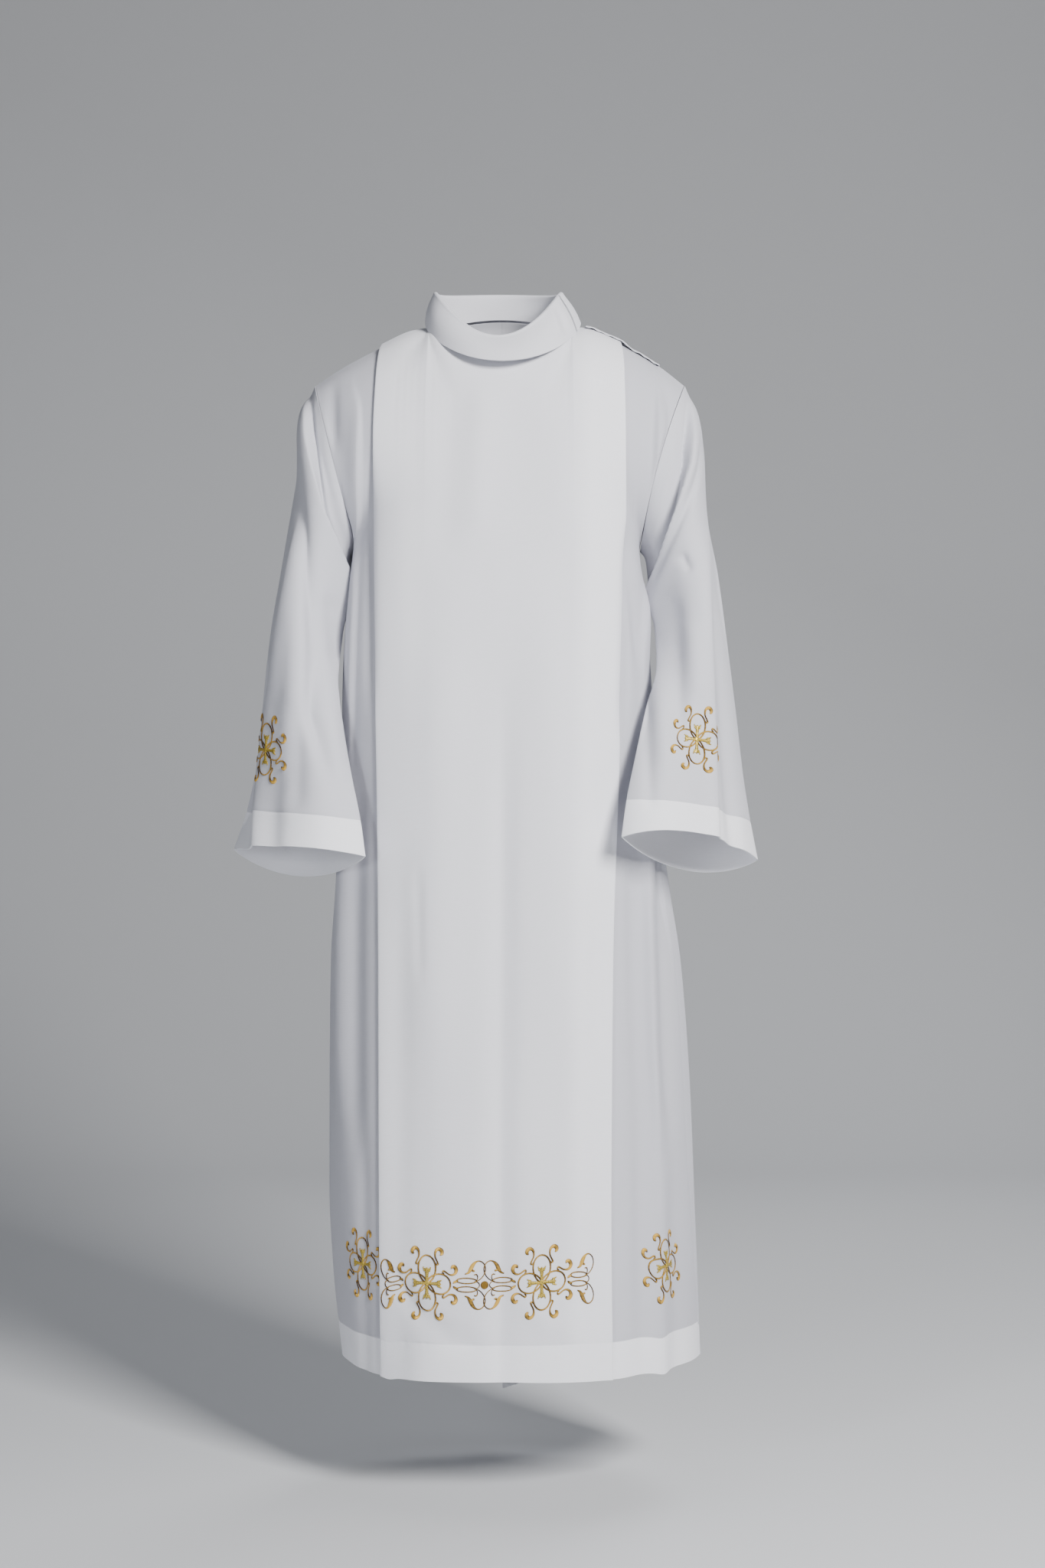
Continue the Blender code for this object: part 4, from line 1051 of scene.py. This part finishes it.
# %% The collar
# The rings of the turned edge and of the fall's edge.
COLLAR_FOLD = Neck(82, 74, 64, 21, -47, -56, -2, 1.9)
COLLAR_EDGE = Neck(101, 98, 88, 57, -8, -18, 4, 1.2)
COLLAR_RISE = 2.6  # how far its seam stands above the body's neck edge
COLLAR_BEND = 2.4  # radius of the turned edge
COLLAR_INSET = 0.6  # how far its seam lies inside the body's neck edge
COLLAR_SWELL = 2.5  # how far the fall swells outwards
COLLAR_ENDS = (69.5, -288)  # degrees round from the centre front
COLLAR_COLUMNS, STAND_ROWS, BEND_ROWS, TURNED_ROWS = 150, 12, 9, 17
PULL_HIGH = 0.14  # the share down over which a pull fades
# Small pulls in the fall: where, how wide in degrees, and how high.
Pull = namedtuple("Pull", "turn share wide high")
COLLAR_PULLS = [
    Pull(51, 0.66, 5, 2.3),
    Pull(57, 0.78, 4, -2.2),
    Pull(63, 0.70, 3, 1.8),
    Pull(40, 0.72, 8, 0.8),
    Pull(-62, 0.70, 9, 0.9),
    Pull(-20, 0.80, 14, 0.5),
    Pull(-120, 0.75, 12, 1.0),
    Pull(-210, 0.75, 12, 0.9),
]


def collar_piece():
    """The collar's wall, from its seam up over the turn and down to the fall's edge."""
    turn = np.linspace(*COLLAR_ENDS, COLLAR_COLUMNS)
    seam, fold, edge = (neck_point(ring, turn) for ring in (COLLAR_SEAM, COLLAR_FOLD, COLLAR_EDGE))
    out = stack(np.sin(np.radians(turn)), -np.cos(np.radians(turn)), 0)
    up = np.array([0, 0, 1.0])
    in_front = np.cos(np.radians(turn)) > 0
    raised = np.where(in_front, centre_lift((seam[:, 0] - COLLAR_SEAM.middle) / PLEAT_SCALE), 0)
    seam = seam + up * (CLOTH / 2 + SEAM_GAP + COLLAR_RISE + raised[:, None]) - out * COLLAR_INSET
    start = fold - out * COLLAR_BEND - up * COLLAR_BEND
    way = [seam + (start - seam) * t for t in np.linspace(0, 1, STAND_ROWS)[:-1]]
    for angle in np.radians(np.linspace(180, 0, BEND_ROWS)):
        way.append(fold + out * COLLAR_BEND * np.cos(angle) + up * COLLAR_BEND * (np.sin(angle) - 1))
    turned = way[-1]
    for t in np.linspace(0, 1, TURNED_ROWS)[1:]:
        way.append(turned + (edge - turned) * t + out * COLLAR_SWELL * np.sin(np.pi * t))
    middle = np.stack(way, axis=0)
    n = np.cross(np.gradient(middle, axis=1), np.gradient(middle, axis=0))
    n /= np.linalg.norm(n, axis=-1, keepdims=True)
    share = np.linspace(0, 1, len(way))[:, None]
    high = np.zeros(middle.shape[:2])
    for pull in COLLAR_PULLS:
        off_turn = (turn[None, :] - pull.turn) / pull.wide
        off_share = (share - pull.share) / PULL_HIGH
        high += pull.high * np.exp(-(off_turn**2) - off_share**2)
    middle = middle + n * high[..., None]
    inside, outside = middle - n * COLLAR_CLOTH / 2, middle + n * COLLAR_CLOTH / 2
    # The collar's low share paints the shade on its face.
    doubled_and_lit = np.full(middle.shape[:2], DOUBLED_AND_LIT["collar"])
    return cloth_wall("collar_cloth", inside, outside, cloth_lengths(outside), doubled_and_lit, robe_cloth)


collar_cloth = collar_piece()

# %% [markdown]
# A narrow strip lies along the wearer's left shoulder and hides what closes the opening. It rests on the
# front's middle near the neck and steps down to the single cloth beyond the pleat. Its free edge waves a
# little.

# %% The strip over the fastening
STRIP_FROM, STRIP_TO, STRIP_FRONT, STRIP_BACK = 112, 208, 8, 15
STRIP_COLUMNS, STRIP_ROWS = 80, 18
STRIP_STEP_AT, STRIP_STEP_LONG = 160, 14  # where the strip comes down from the front's middle
STRIP_ABOVE = 1.9  # its clearance over the seam's ridge
STRIP_FALL = 0.33  # how steeply it falls to both sides of the seam
STRIP_WAVES = 3


def strip_piece():
    """The strip on the wearer's left shoulder, its free edge a little wavy."""
    out_from_neck = np.linspace(STRIP_FROM, STRIP_TO, STRIP_COLUMNS)
    x, y = np.meshgrid(out_from_neck, np.linspace(-STRIP_FRONT, STRIP_BACK, STRIP_ROWS))
    over_middle = 1 - smooth((x - STRIP_STEP_AT) / STRIP_STEP_LONG)
    lift = 2 * LAYER * over_middle * np.where(y > 0, 1 - smooth(y / STRIP_BACK) * 0.8, 1)
    wave = 0.5 + 0.5 * np.sin((x - STRIP_FROM) / (STRIP_TO - STRIP_FROM) * STRIP_WAVES * 2 * np.pi)
    above = CLOTH + SEAM_GAP + STRIP_ABOVE + lift + wave * np.where(y < 0, 0.9, 0.2)
    above = above + 0.5 * np.sin(x * 0.52 + 1) * smooth(-y / 5)
    middle = stack(x, y, along(SHOULDER, "left", x, "out") + np.abs(y) * STRIP_FALL - above)
    n = np.array([0.45, 0, 0.89])
    inside, outside = middle - n * CLOTH / 2, middle + n * CLOTH / 2
    doubled_and_lit = np.full(x.shape, DOUBLED_AND_LIT["strip"])
    return cloth_wall("strip_cloth", inside, outside, cloth_lengths(outside), doubled_and_lit, robe_cloth)


strip_cloth = strip_piece()

# %% [markdown]
# A small ring of white thread stands on the collar's cut edge and closes it. Thread is twisted, so its tone
# changes in very small steps, which a fine noise on the piece's own coordinates gives.

# %% The collar's thread loop
LOOP_RADIUS, LOOP_THREAD = 0.0022, 0.0011  # metres
LOOP_FACES = (0.4, -0.8, 0.3)
LOOP_SHARE = 0.62  # of the way from the fall's edge up to the turned edge


def thread_loop(name, centre, radius, thread, material):
    """A small ring of thread that stands on the collar's cut edge."""
    bm = bmesh.new()
    circle = bmesh.ops.create_circle(bm, segments=8, radius=thread / 2)
    for vert in circle["verts"]:
        vert.co = Vector((radius + vert.co.x, 0, vert.co.y))
    bmesh.ops.spin(
        bm,
        geom=bm.verts[:] + bm.edges[:],
        cent=(0, 0, 0),
        axis=(0, 0, 1),
        angle=2 * np.pi,
        steps=24,
        use_merge=True,
    )
    stand = Vector((0, 0, 1)).rotation_difference(Vector(LOOP_FACES)).to_matrix()
    bmesh.ops.rotate(bm, verts=bm.verts[:], cent=(0, 0, 0), matrix=stand)
    bmesh.ops.translate(bm, verts=bm.verts[:], vec=centre)
    bmesh.ops.remove_doubles(bm, verts=bm.verts[:], dist=1e-7)
    bmesh.ops.recalc_face_normals(bm, faces=bm.faces[:])
    mesh = bpy.data.meshes.new(name)
    bm.to_mesh(mesh)
    bm.free()
    mesh.shade_smooth()
    piece = bpy.data.objects.new(name, mesh)
    bpy.context.collection.objects.link(piece)
    mesh.materials.append(material)
    return piece


thread, thread_nodes, thread_shader = node_material("white_thread")
twist = thread_nodes.nodes.new("ShaderNodeTexNoise")
twist.inputs["Scale"].default_value = 2200
twist_place = thread_nodes.nodes.new("ShaderNodeTexCoord")
thread_tone = thread_nodes.nodes.new("ShaderNodeValToRGB")
thread_tone.color_ramp.elements[0].color = (0.70, 0.70, 0.72, 1)
thread_tone.color_ramp.elements[1].color = (0.92, 0.92, 0.93, 1)
thread_nodes.links.new(twist_place.outputs["Object"], twist.inputs["Vector"])
thread_nodes.links.new(twist.outputs["Fac"], thread_tone.inputs["Fac"])
thread_nodes.links.new(thread_tone.outputs["Color"], thread_shader.inputs["Base Color"])
thread_shader.inputs["Roughness"].default_value = 0.5
loop_turn = COLLAR_ENDS[0] + 1.5
loop_low, loop_high = neck_point(COLLAR_EDGE, loop_turn), neck_point(COLLAR_FOLD, loop_turn)
loop_at = loop_low * (1 - LOOP_SHARE) + loop_high * LOOP_SHARE
collar_loop = thread_loop("collar_loop", Vector(loop_at * MM), LOOP_RADIUS, LOOP_THREAD, thread)
print("thread loop at", [round(float(v), 1) for v in loop_at])

# %% [markdown]
# The embroidery is machine satin stitch in gold thread: bands of stitches that lie side by side across a
# line, thick over their padding and thin at their ends. It is an old church ornament, a cross in four
# petals with curled ends, and here it is drawn from its own arcs and short tables. A flat image would stay
# flat under the lamp, so every band is a small crowned form that is laid on the cloth by the same functions
# that shaped it.

# %% Gold thread
def gold_material(name, dark, bright, stitch, roughness, grain):
    """Gold thread: `stitch` mm from one to the next, and grain where it is knotted instead of laid flat."""
    material, tree, shader = node_material(name)
    new, link = tree.nodes.new, tree.links.new
    spot = new("ShaderNodeUVMap")
    spot.uv_map = "cloth"
    # Without grain, the colour ramp follows the lit attribute: painted highlight and painted shade.
    lit = new("ShaderNodeAttribute")
    lit.attribute_name = "lit"
    wave = new("ShaderNodeTexWave")
    wave.bands_direction = "Y"
    wave.inputs["Scale"].default_value = 314 / stitch
    wave.inputs["Distortion"].default_value = 0.8
    link(spot.outputs["UV"], wave.inputs["Vector"])
    lumps = new("ShaderNodeTexVoronoi")
    lumps.inputs["Scale"].default_value = 750
    link(spot.outputs["UV"], lumps.inputs["Vector"])
    uneven = new("ShaderNodeTexNoise")
    uneven.inputs["Scale"].default_value = 420
    link(spot.outputs["UV"], uneven.inputs["Vector"])
    mixed = new("ShaderNodeMath")
    mixed.operation = "MULTIPLY_ADD"
    mixed.inputs[1].default_value = 1.7 if grain else 0.45
    link(lumps.outputs["Distance"] if grain else uneven.outputs["Fac"], mixed.inputs[0])
    mixed.inputs[2].default_value = 0.05
    if not grain:
        link(lit.outputs["Fac"], mixed.inputs[2])
    tone = new("ShaderNodeValToRGB")
    tone.color_ramp.elements[0].position = 0.36
    tone.color_ramp.elements[0].color = dark
    tone.color_ramp.elements[1].position = 0.92
    tone.color_ramp.elements[1].color = bright
    link(mixed.outputs["Value"], tone.inputs["Fac"])
    link(tone.outputs["Color"], shader.inputs["Base Color"])
    bump = new("ShaderNodeBump")
    bump.inputs["Strength"].default_value = 0.8
    bump.inputs["Distance"].default_value = 0.0003
    link(lumps.outputs["Distance"] if grain else wave.outputs["Fac"], bump.inputs["Height"])
    link(bump.outputs["Normal"], shader.inputs["Normal"])
    shader.inputs["Metallic"].default_value = 0.3
    shader.inputs["Roughness"].default_value = roughness
    return material


# The dark and bright ends of each ramp: for the satin and the dot they are painted shade and painted
# highlight; for the cross they are the tone of its grain.
SATIN_DARK, SATIN_BRIGHT = (0.045, 0.018, 0.002, 1), (0.74, 0.44, 0.07, 1)
CROSS_DARK, CROSS_BRIGHT = (0.05, 0.03, 0.003, 1), (0.46, 0.33, 0.05, 1)
DOT_DARK, DOT_BRIGHT = (0.12, 0.06, 0.006, 1), (0.36, 0.21, 0.03, 1)
satin_gold = gold_material("gold_satin_stitch", SATIN_DARK, SATIN_BRIGHT, 0.55, 0.36, False)
cross_gold = gold_material("gold_cross_stitch", CROSS_DARK, CROSS_BRIGHT, 0.6, 0.38, True)
dot_gold = gold_material("gold_dot_stitch", DOT_DARK, DOT_BRIGHT, 0.4, 0.45, False)
print("gold threads:", satin_gold.name, cross_gold.name, dot_gold.name)

# %% [markdown]
# One band of stitches follows a smooth line through a few points, with a width at each. Its section is a
# low arch over a flat foot that sits in the cloth. Thread shines across its own direction, so each band
# also notes how far its stitches face the lamp, and the colour goes from brown to bright gold with that,
# as a painted highlight. The crown of each arch is painted lighter too, and thin bands are darker.

# %% Laying a band of stitches
Stitch = namedtuple("Stitch", "across up wide")
THREAD_HEIGHT = 1.3  # mm that padded stitches stand proud
LAMP_WAY = np.radians(125)  # stitches that run this way shine most


def through(points, count):
    """A smooth line through a few rows, with every column carried along."""
    points = np.array(points, float)
    padded = np.vstack([2 * points[0] - points[1], points, 2 * points[-1] - points[-2]])
    t = np.linspace(0, len(points) - 1, count)
    i = np.minimum(t.astype(int), len(points) - 2)
    t = (t - i)[:, None]
    a, b, c, d = padded[i], padded[i + 1], padded[i + 2], padded[i + 3]
    curve = 2 * b + (c - a) * t + (2 * a - 5 * b + 4 * c - d) * t**2 + (3 * b - a - 3 * c + d) * t**3
    return curve / 2


def lay_band(bm, lay_on, line, widths):
    """Adds one closed band of stitches along a line in the motif's own millimetres."""
    way = np.gradient(line, axis=0)
    way /= np.maximum(np.linalg.norm(way, axis=1, keepdims=True), 1e-9)
    side = np.stack([way[:, 1], -way[:, 0]], axis=1)
    arch = np.radians(np.linspace(0, 180, 7))
    across = np.concatenate([np.cos(arch), [-0.6, 0.6, 1.0]])
    high = np.concatenate([np.sin(arch), [-0.5, -0.5, 0.0]])
    width = np.maximum(widths, 0.15)[:, None]
    place = line[:, None, :] + side[:, None, :] * (across[None, :, None] * width[..., None] / 2)
    lift = np.where(high > 0, 0.15 + high * THREAD_HEIGHT * np.sqrt(np.minimum(width / 5, 1)), high * 0.5)
    points = lay_on(place[..., 0], place[..., 1], lift)
    rows, columns = points.shape[:2]
    # Painted highlight: stitches that face the lamp way and each arch's crown are lighter, and thin bands are
    # darker.
    facing = 0.5 + 0.5 * np.cos(2 * (np.arctan2(side[:, 1], side[:, 0]) - LAMP_WAY))
    painted_light = (0.62 * facing[:, None] + 0.38 * np.clip(high, 0, 1)) * np.clip(0.08 + width / 4.2, 0, 1)
    length = np.concatenate([[0], np.cumsum(np.linalg.norm(np.diff(line, axis=0), axis=1))])
    lit, uv = bm.verts.layers.float["lit"], bm.loops.layers.uv["cloth"]
    grid = bmesh.ops.create_grid(bm, x_segments=columns - 1, y_segments=rows - 1, size=1)
    spots = {}
    for vert in grid["verts"]:
        row, col = round((vert.co.y + 1) / 2 * (rows - 1)), round((vert.co.x + 1) / 2 * (columns - 1))
        spots[vert] = (row, col)
        vert[lit] = painted_light[row, col]
    faces = {f for v in grid["verts"] for f in v.link_faces}
    for face in faces:
        for loop in face.loops:
            row, col = spots[loop.vert]
            loop[uv].uv = (across[col] * width[row, 0] / 2 * MM, length[row] * MM)
    for vert, (row, col) in spots.items():
        vert.co = points[row, 0 if col == columns - 1 else col] * MM
    bmesh.ops.remove_doubles(bm, verts=grid["verts"], dist=1e-8)
    ends = [e for f in faces if f.is_valid for e in f.edges if e.is_boundary]
    bmesh.ops.holes_fill(bm, edges=list(set(ends)), sides=0)


def lay_table(bm, lay_on, rows, turned=lambda p: p, count=34):
    """A band from a short table of places and widths, turned or mirrored into its place."""
    curve = through([[r.across, r.up, r.wide] for r in rows], count)
    lay_band(bm, lay_on, turned(curve[:, :2]), curve[:, 2])


def lay_disc(bm, lay_on, centre, radius, count=15):
    """A round of stitches, laid as one band that widens and narrows."""
    t = np.linspace(-1, 1, count)
    line = np.array(centre) + np.stack([np.zeros(count), t * radius], axis=1)
    lay_band(bm, lay_on, line, 2 * radius * np.sqrt(np.maximum(1 - t**2, 0.004)))


print("padded stitches stand %.1f mm proud" % THREAD_HEIGHT)

# %% [markdown]
# The motif has one petal, one curled end and one arm, and turning and mirroring them makes the rest. The
# petals to the sides are a little shorter and wider than those above and below.

# %% The cross in its petals
PETAL_LONG, PETAL_WIDE = 33.0, 11.2
SIDE_PETAL = (1.13, 0.87)  # how much wider and shorter the side petals are
SIDE_CURL = (1.20, 0.85)  # the same for their curls
CURL = [
    Stitch(10.2, 25.2, 1.1),
    Stitch(11.6, 22.8, 1.9),
    Stitch(13.5, 23.6, 2.3),
    Stitch(12.4, 27.0, 2.0),
    Stitch(10.3, 31.4, 1.9),
    Stitch(9.9, 36.2, 2.5),
    Stitch(11.5, 40.3, 3.5),
    Stitch(15.0, 42.0, 4.7),
    Stitch(18.0, 39.8, 5.0),
    Stitch(18.2, 36.6, 4.0),
    Stitch(16.2, 34.9, 1.8),
]
ARM = [
    Stitch(0.0, 0.0, 3.4),
    Stitch(0.0, 6.0, 3.6),
    Stitch(0.0, 12.0, 4.6),
    Stitch(0.0, 15.6, 6.4),
    Stitch(0.0, 17.6, 7.6),
]
PRONGS = [(-4.6, 19.4), (0.0, 18.8), (4.6, 19.4)]
PRONGS_FROM = 14.0
PETAL_THREAD, CROSS_CENTRE = 2.1, 3.4


def petal_line(count):
    """Half a petal's outline: an egg with its sharper end on the cross's middle."""
    t = np.linspace(0, np.pi, count)
    long = PETAL_LONG * (1 - np.cos(t)) / 2
    wide = PETAL_WIDE * np.sin(t) * np.sin(t / 2) ** 0.25 * 1.03
    return np.stack([wide, long], axis=1)


def quarter_turns(side_scale):
    """The four ways that a petal points, and its mirror: functions of points."""
    ways = []
    for quarter in range(4):
        scale = np.array(side_scale if quarter % 2 else (1.0, 1.0))
        for mirror in (1, -1):
            def turned(points, quarter=quarter, scale=scale, mirror=mirror):
                x, y = points[:, 0] * scale[0] * mirror, points[:, 1] * scale[1]
                for _ in range(quarter):
                    x, y = -y, x
                return np.stack([x, y], axis=1)

            ways.append(turned)
    return ways


def moved(turned, centre):
    """The same turn, then carried to a centre."""
    return lambda points: turned(points) + np.array(centre)


def lay_motif(satin, crosses, lay_on, centre=(0.0, 0.0)):
    """One cross in its four petals with eight curled ends."""
    for petal_way, curl_way in zip(quarter_turns(SIDE_PETAL), quarter_turns(SIDE_CURL)):
        petal = petal_line(40)
        lay_band(satin, lay_on, moved(petal_way, centre)(petal), np.full(len(petal), PETAL_THREAD))
        lay_table(satin, lay_on, CURL, moved(curl_way, centre), 50)
    for arm_way in quarter_turns((1.0, 0.93))[::2]:
        turned = moved(arm_way, centre)
        lay_table(crosses, lay_on, ARM, turned, 20)
        for prong in PRONGS:
            line = np.array([(prong[0] * 0.6, PRONGS_FROM), prong])
            lay_band(crosses, lay_on, turned(through(line, 6)), np.linspace(2.4, 1.5, 6))
    lay_disc(crosses, lay_on, centre, CROSS_CENTRE)


# %% [markdown]
# Between and beside the two crosses of the band run scrolls: two flat loops, then a stem that swings out
# and back and ends in a leaf, above and below.

# %% The scrolls
SCROLLS_FROM = 31.0  # mm from the cross's middle
SCROLL_THREAD = 1.55
LOOP_CENTRE, LOOP_HALF = (48.3, 5.2), (12.2, 3.3)
SCROLL = [
    Stitch(58.0, 4.0, 1.2),
    Stitch(64.0, 6.4, 1.3),
    Stitch(69.0, 11.6, 1.4),
    Stitch(71.6, 18.8, 1.4),
    Stitch(70.0, 25.4, 1.5),
    Stitch(65.4, 29.2, 1.6),
    Stitch(60.4, 28.8, 2.2),
    Stitch(56.2, 24.8, 4.4),
    Stitch(53.4, 19.6, 5.0),
    Stitch(50.6, 15.2, 3.0),
    Stitch(46.4, 13.3, 1.5),
]
LEAF_CURL = [
    Stitch(54.2, 19.6, 2.4),
    Stitch(56.4, 17.4, 2.6),
    Stitch(58.4, 17.6, 2.0),
]
HOOK = [
    Stitch(60.6, 4.6, 1.2),
    Stitch(62.0, 9.6, 1.3),
    Stitch(60.6, 13.0, 1.6),
    Stitch(57.8, 12.6, 1.5),
]
LINK = [Stitch(60.2, 4.6, 1.2), Stitch(63.4, 2.6, 1.3), Stitch(64.4, 0.0, 1.3)]
SPUR = [Stitch(31.8, 1.8, 1.2), Stitch(34.4, 3.6, 3.2), Stitch(38.4, 5.2, 1.1)]


def lay_scrolls(satin, lay_on, centre, way, squeeze):
    """The loops and leaves on one side of a cross."""
    for up in (1, -1):
        def turned(points, up=up):
            x = SCROLLS_FROM + (points[:, 0] - SCROLLS_FROM) * squeeze
            return np.stack([centre[0] + way * x, centre[1] + up * points[:, 1]], axis=1)

        angle = np.linspace(0, 2 * np.pi, 46)
        loop = np.stack([np.cos(angle) * LOOP_HALF[0], np.sin(angle) * LOOP_HALF[1]], axis=1) + LOOP_CENTRE
        lay_band(satin, lay_on, turned(loop), np.full(len(loop), SCROLL_THREAD))
        for table, count in ((SCROLL, 60), (LEAF_CURL, 12), (HOOK, 18), (LINK, 10), (SPUR, 10)):
            lay_table(satin, lay_on, table, turned, count)


print("motif tables: %d curls' rows, %d scroll rows" % (len(CURL), len(SCROLL)))

# %% [markdown]
# A motif's flat millimetres are turned into shares of the cloth around its middle, which is found on the
# cloth by closing in on the place where it shows. One millimetre of motif is one millimetre of cloth, so a
# motif that turns away from the viewer gets narrower, as in real cloth.

# %% Placing the motifs
Place = namedtuple("Place", "x drop")


def find_share(surface, place, across_range, down_range):
    """The shares at which a surface passes a place in the front view."""
    low, high = np.array([across_range[0], down_range[0]]), np.array([across_range[1], down_range[1]])
    for _ in range(6):
        a, d = np.meshgrid(np.linspace(low[0], high[0], 41), np.linspace(low[1], high[1], 41))
        lay = surface(a, d)
        off = (lay[..., 0] - place.x) ** 2 + (-lay[..., 2] - place.drop) ** 2
        best = np.unravel_index(np.argmin(off), off.shape)
        centre, reach = np.array([a[best], d[best]]), (high - low) / 8
        low, high = centre - reach, centre + reach
    return centre


def on_cloth(surface, point, place, across_range, down_range, base, narrow=1.0, tilt=0.0):
    """A function that lays a motif's millimetres, and a height, on the cloth round a place."""
    across0, down0 = find_share(surface, place, across_range, down_range)
    step = 0.004

    def run(across, down):
        before = surface(np.array(across0 - across), np.array(down0 - down))
        return surface(np.array(across0 + across), np.array(down0 + down)) - before

    ahead, below = run(step, 0), run(0, step)
    across_scale = np.linalg.norm(ahead) / (2 * step) * np.sign(ahead[0])
    down_scale = np.linalg.norm(below) / (2 * step)

    def lay_on(x, y, high):
        x, y, high = np.broadcast_arrays(x, y, high)
        across = across0 + x * narrow / across_scale
        down = down0 - (y + tilt * x) / down_scale
        return point(across, down, base(across) + high)

    return lay_on


def embroidery():
    """An empty piece of embroidery, with its map and its light."""
    bm = bmesh.new()
    bm.verts.layers.float.new("lit")
    bm.loops.layers.uv.new("cloth")
    return bm


def finish_embroidery(bm, name, material):
    """Turns the laid bands into one piece."""
    bmesh.ops.recalc_face_normals(bm, faces=bm.faces[:])
    mesh = bpy.data.meshes.new(name)
    open_edges = sum(not e.is_manifold for e in bm.edges)
    bm.to_mesh(mesh)
    bm.free()
    mesh.shade_smooth()
    piece = bpy.data.objects.new(name, mesh)
    bpy.context.collection.objects.link(piece)
    mesh.materials.append(material)
    print("%s: %d faces, %d open edges" % (name, len(mesh.polygons), open_edges))
    return piece


def middle_face(share):
    """The outer face of the front's middle, over its lay."""
    return centre_lift(share) + CLOTH / 2


def single_face(share):
    """The outer face of one layer."""
    return np.full(np.shape(share), CLOTH / 2)


BAND_MIDDLE = Place(-17.5, 1214.5)
BAND_TILT = 0.028  # mm down for each mm towards the wearer's right
CROSSES = (-70.6, 70.6)  # mm across from the band's middle
Motif = namedtuple("Motif", "place across_range narrow")
SIDE_MOTIFS = {
    "right": Motif(Place(-173.5, 1201), (-1.95, -1.02), 0.88),
    "left": Motif(Place(210, 1204), (1.02, 1.95), 0.93),
}
SLEEVE_MOTIFS = {
    "right": Motif(Place(-295, 551), (0.02, 0.6), 1.15),
    "left": Motif(Place(249, 538), (0.02, 0.6), 1.0),
}
NEAR_HEM, NEAR_CUFF = (0.7, 1.0), (0.4, 0.95)  # shares down between which the motifs lie
# The scrolls of the band: beside which cross, to which side, and how much they are squeezed there.
Scroll = namedtuple("Scroll", "cross way squeeze")
SCROLLS = [Scroll(0, 1, 1.0), Scroll(1, -1, 1.0), Scroll(0, -1, 0.66), Scroll(1, 1, 0.82)]
DOT_RADIUS = 5.0
embroideries = []

band = on_cloth(front_lay, front_point, BAND_MIDDLE, (-0.6, 0.6), NEAR_HEM, middle_face, 1.0, BAND_TILT)
satin, crosses, dot = embroidery(), embroidery(), embroidery()
for across in CROSSES:
    lay_motif(satin, crosses, band, (across, 0.0))
for scroll in SCROLLS:
    lay_scrolls(satin, band, (CROSSES[scroll.cross], 0.0), scroll.way, scroll.squeeze)
lay_disc(dot, band, (0.0, 0.0), DOT_RADIUS, 21)
embroideries.append((finish_embroidery(satin, "band_satin", satin_gold), "front"))
embroideries.append((finish_embroidery(crosses, "band_crosses", cross_gold), "front"))
embroideries.append((finish_embroidery(dot, "band_dot", dot_gold), "front"))


def single_motif(where, side, surface, point, motif, down_range, node):
    """One motif on a single layer of cloth, its satin and its cross a piece each."""
    reach = motif.across_range
    lay_on = on_cloth(surface, point, motif.place, reach, down_range, single_face, motif.narrow)
    satin, crosses = embroidery(), embroidery()
    lay_motif(satin, crosses, lay_on)
    embroideries.append((finish_embroidery(satin, where + "_satin_" + side, satin_gold), node))
    embroideries.append((finish_embroidery(crosses, where + "_cross_" + side, cross_gold), node))


for side, motif in SIDE_MOTIFS.items():
    single_motif("side", side, front_lay, front_point, motif, NEAR_HEM, "front")

for side, motif in SLEEVE_MOTIFS.items():
    def sleeve_lay(turn, down, side=side):
        return sleeve_surface(side, turn, down)

    def sleeve_at(turn, down, above, side=side):
        return sleeve_point(side, turn, down, above)

    single_motif("sleeve", side, sleeve_lay, sleeve_at, motif, NEAR_CUFF, "sleeve_" + side)

# %% [markdown]
# Last, every piece takes the place of its solid: the solid is hidden and the cloth rides on the robe's root.
# The list also gives the size each piece was cut to, with a tube measured all round, how it is held and what
# it rests on, but nothing reads these. The gold rides with the robe, which is one stiff body.

# %% Putting the pieces in place of the solids
Cut = namedtuple("Cut", "piece node wide long area held rests_on")
CUTS = [
    Cut(front_cloth, "front", 1.00, 1.35, 0.98, "hung", ["collar_cloth"]),
    Cut(back_cloths["right"], "back_right", 0.40, 1.42, 0.40, "hung", ["collar_cloth"]),
    Cut(back_cloths["left"], "back_left", 0.44, 1.44, 0.47, "hung", ["collar_cloth"]),
    Cut(sleeve_cloths["right"], "sleeve_right", 0.50, 0.66, 0.24, "hung", ["front_cloth"]),
    Cut(sleeve_cloths["left"], "sleeve_left", 0.50, 0.66, 0.24, "hung", ["front_cloth"]),
    Cut(collar_cloth, "collar", 0.54, 0.105, 0.050, "folded", ["front_cloth"]),
    Cut(strip_cloth, "shoulder_strip", 0.105, 0.026, 0.0026, "laid", ["front_cloth"]),
]
for cut in CUTS:
    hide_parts(cut.node)
    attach(cut.piece, "root")
    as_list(cut.rests_on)
for piece, node in embroideries:
    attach(piece, "root")
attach(collar_loop, "root")
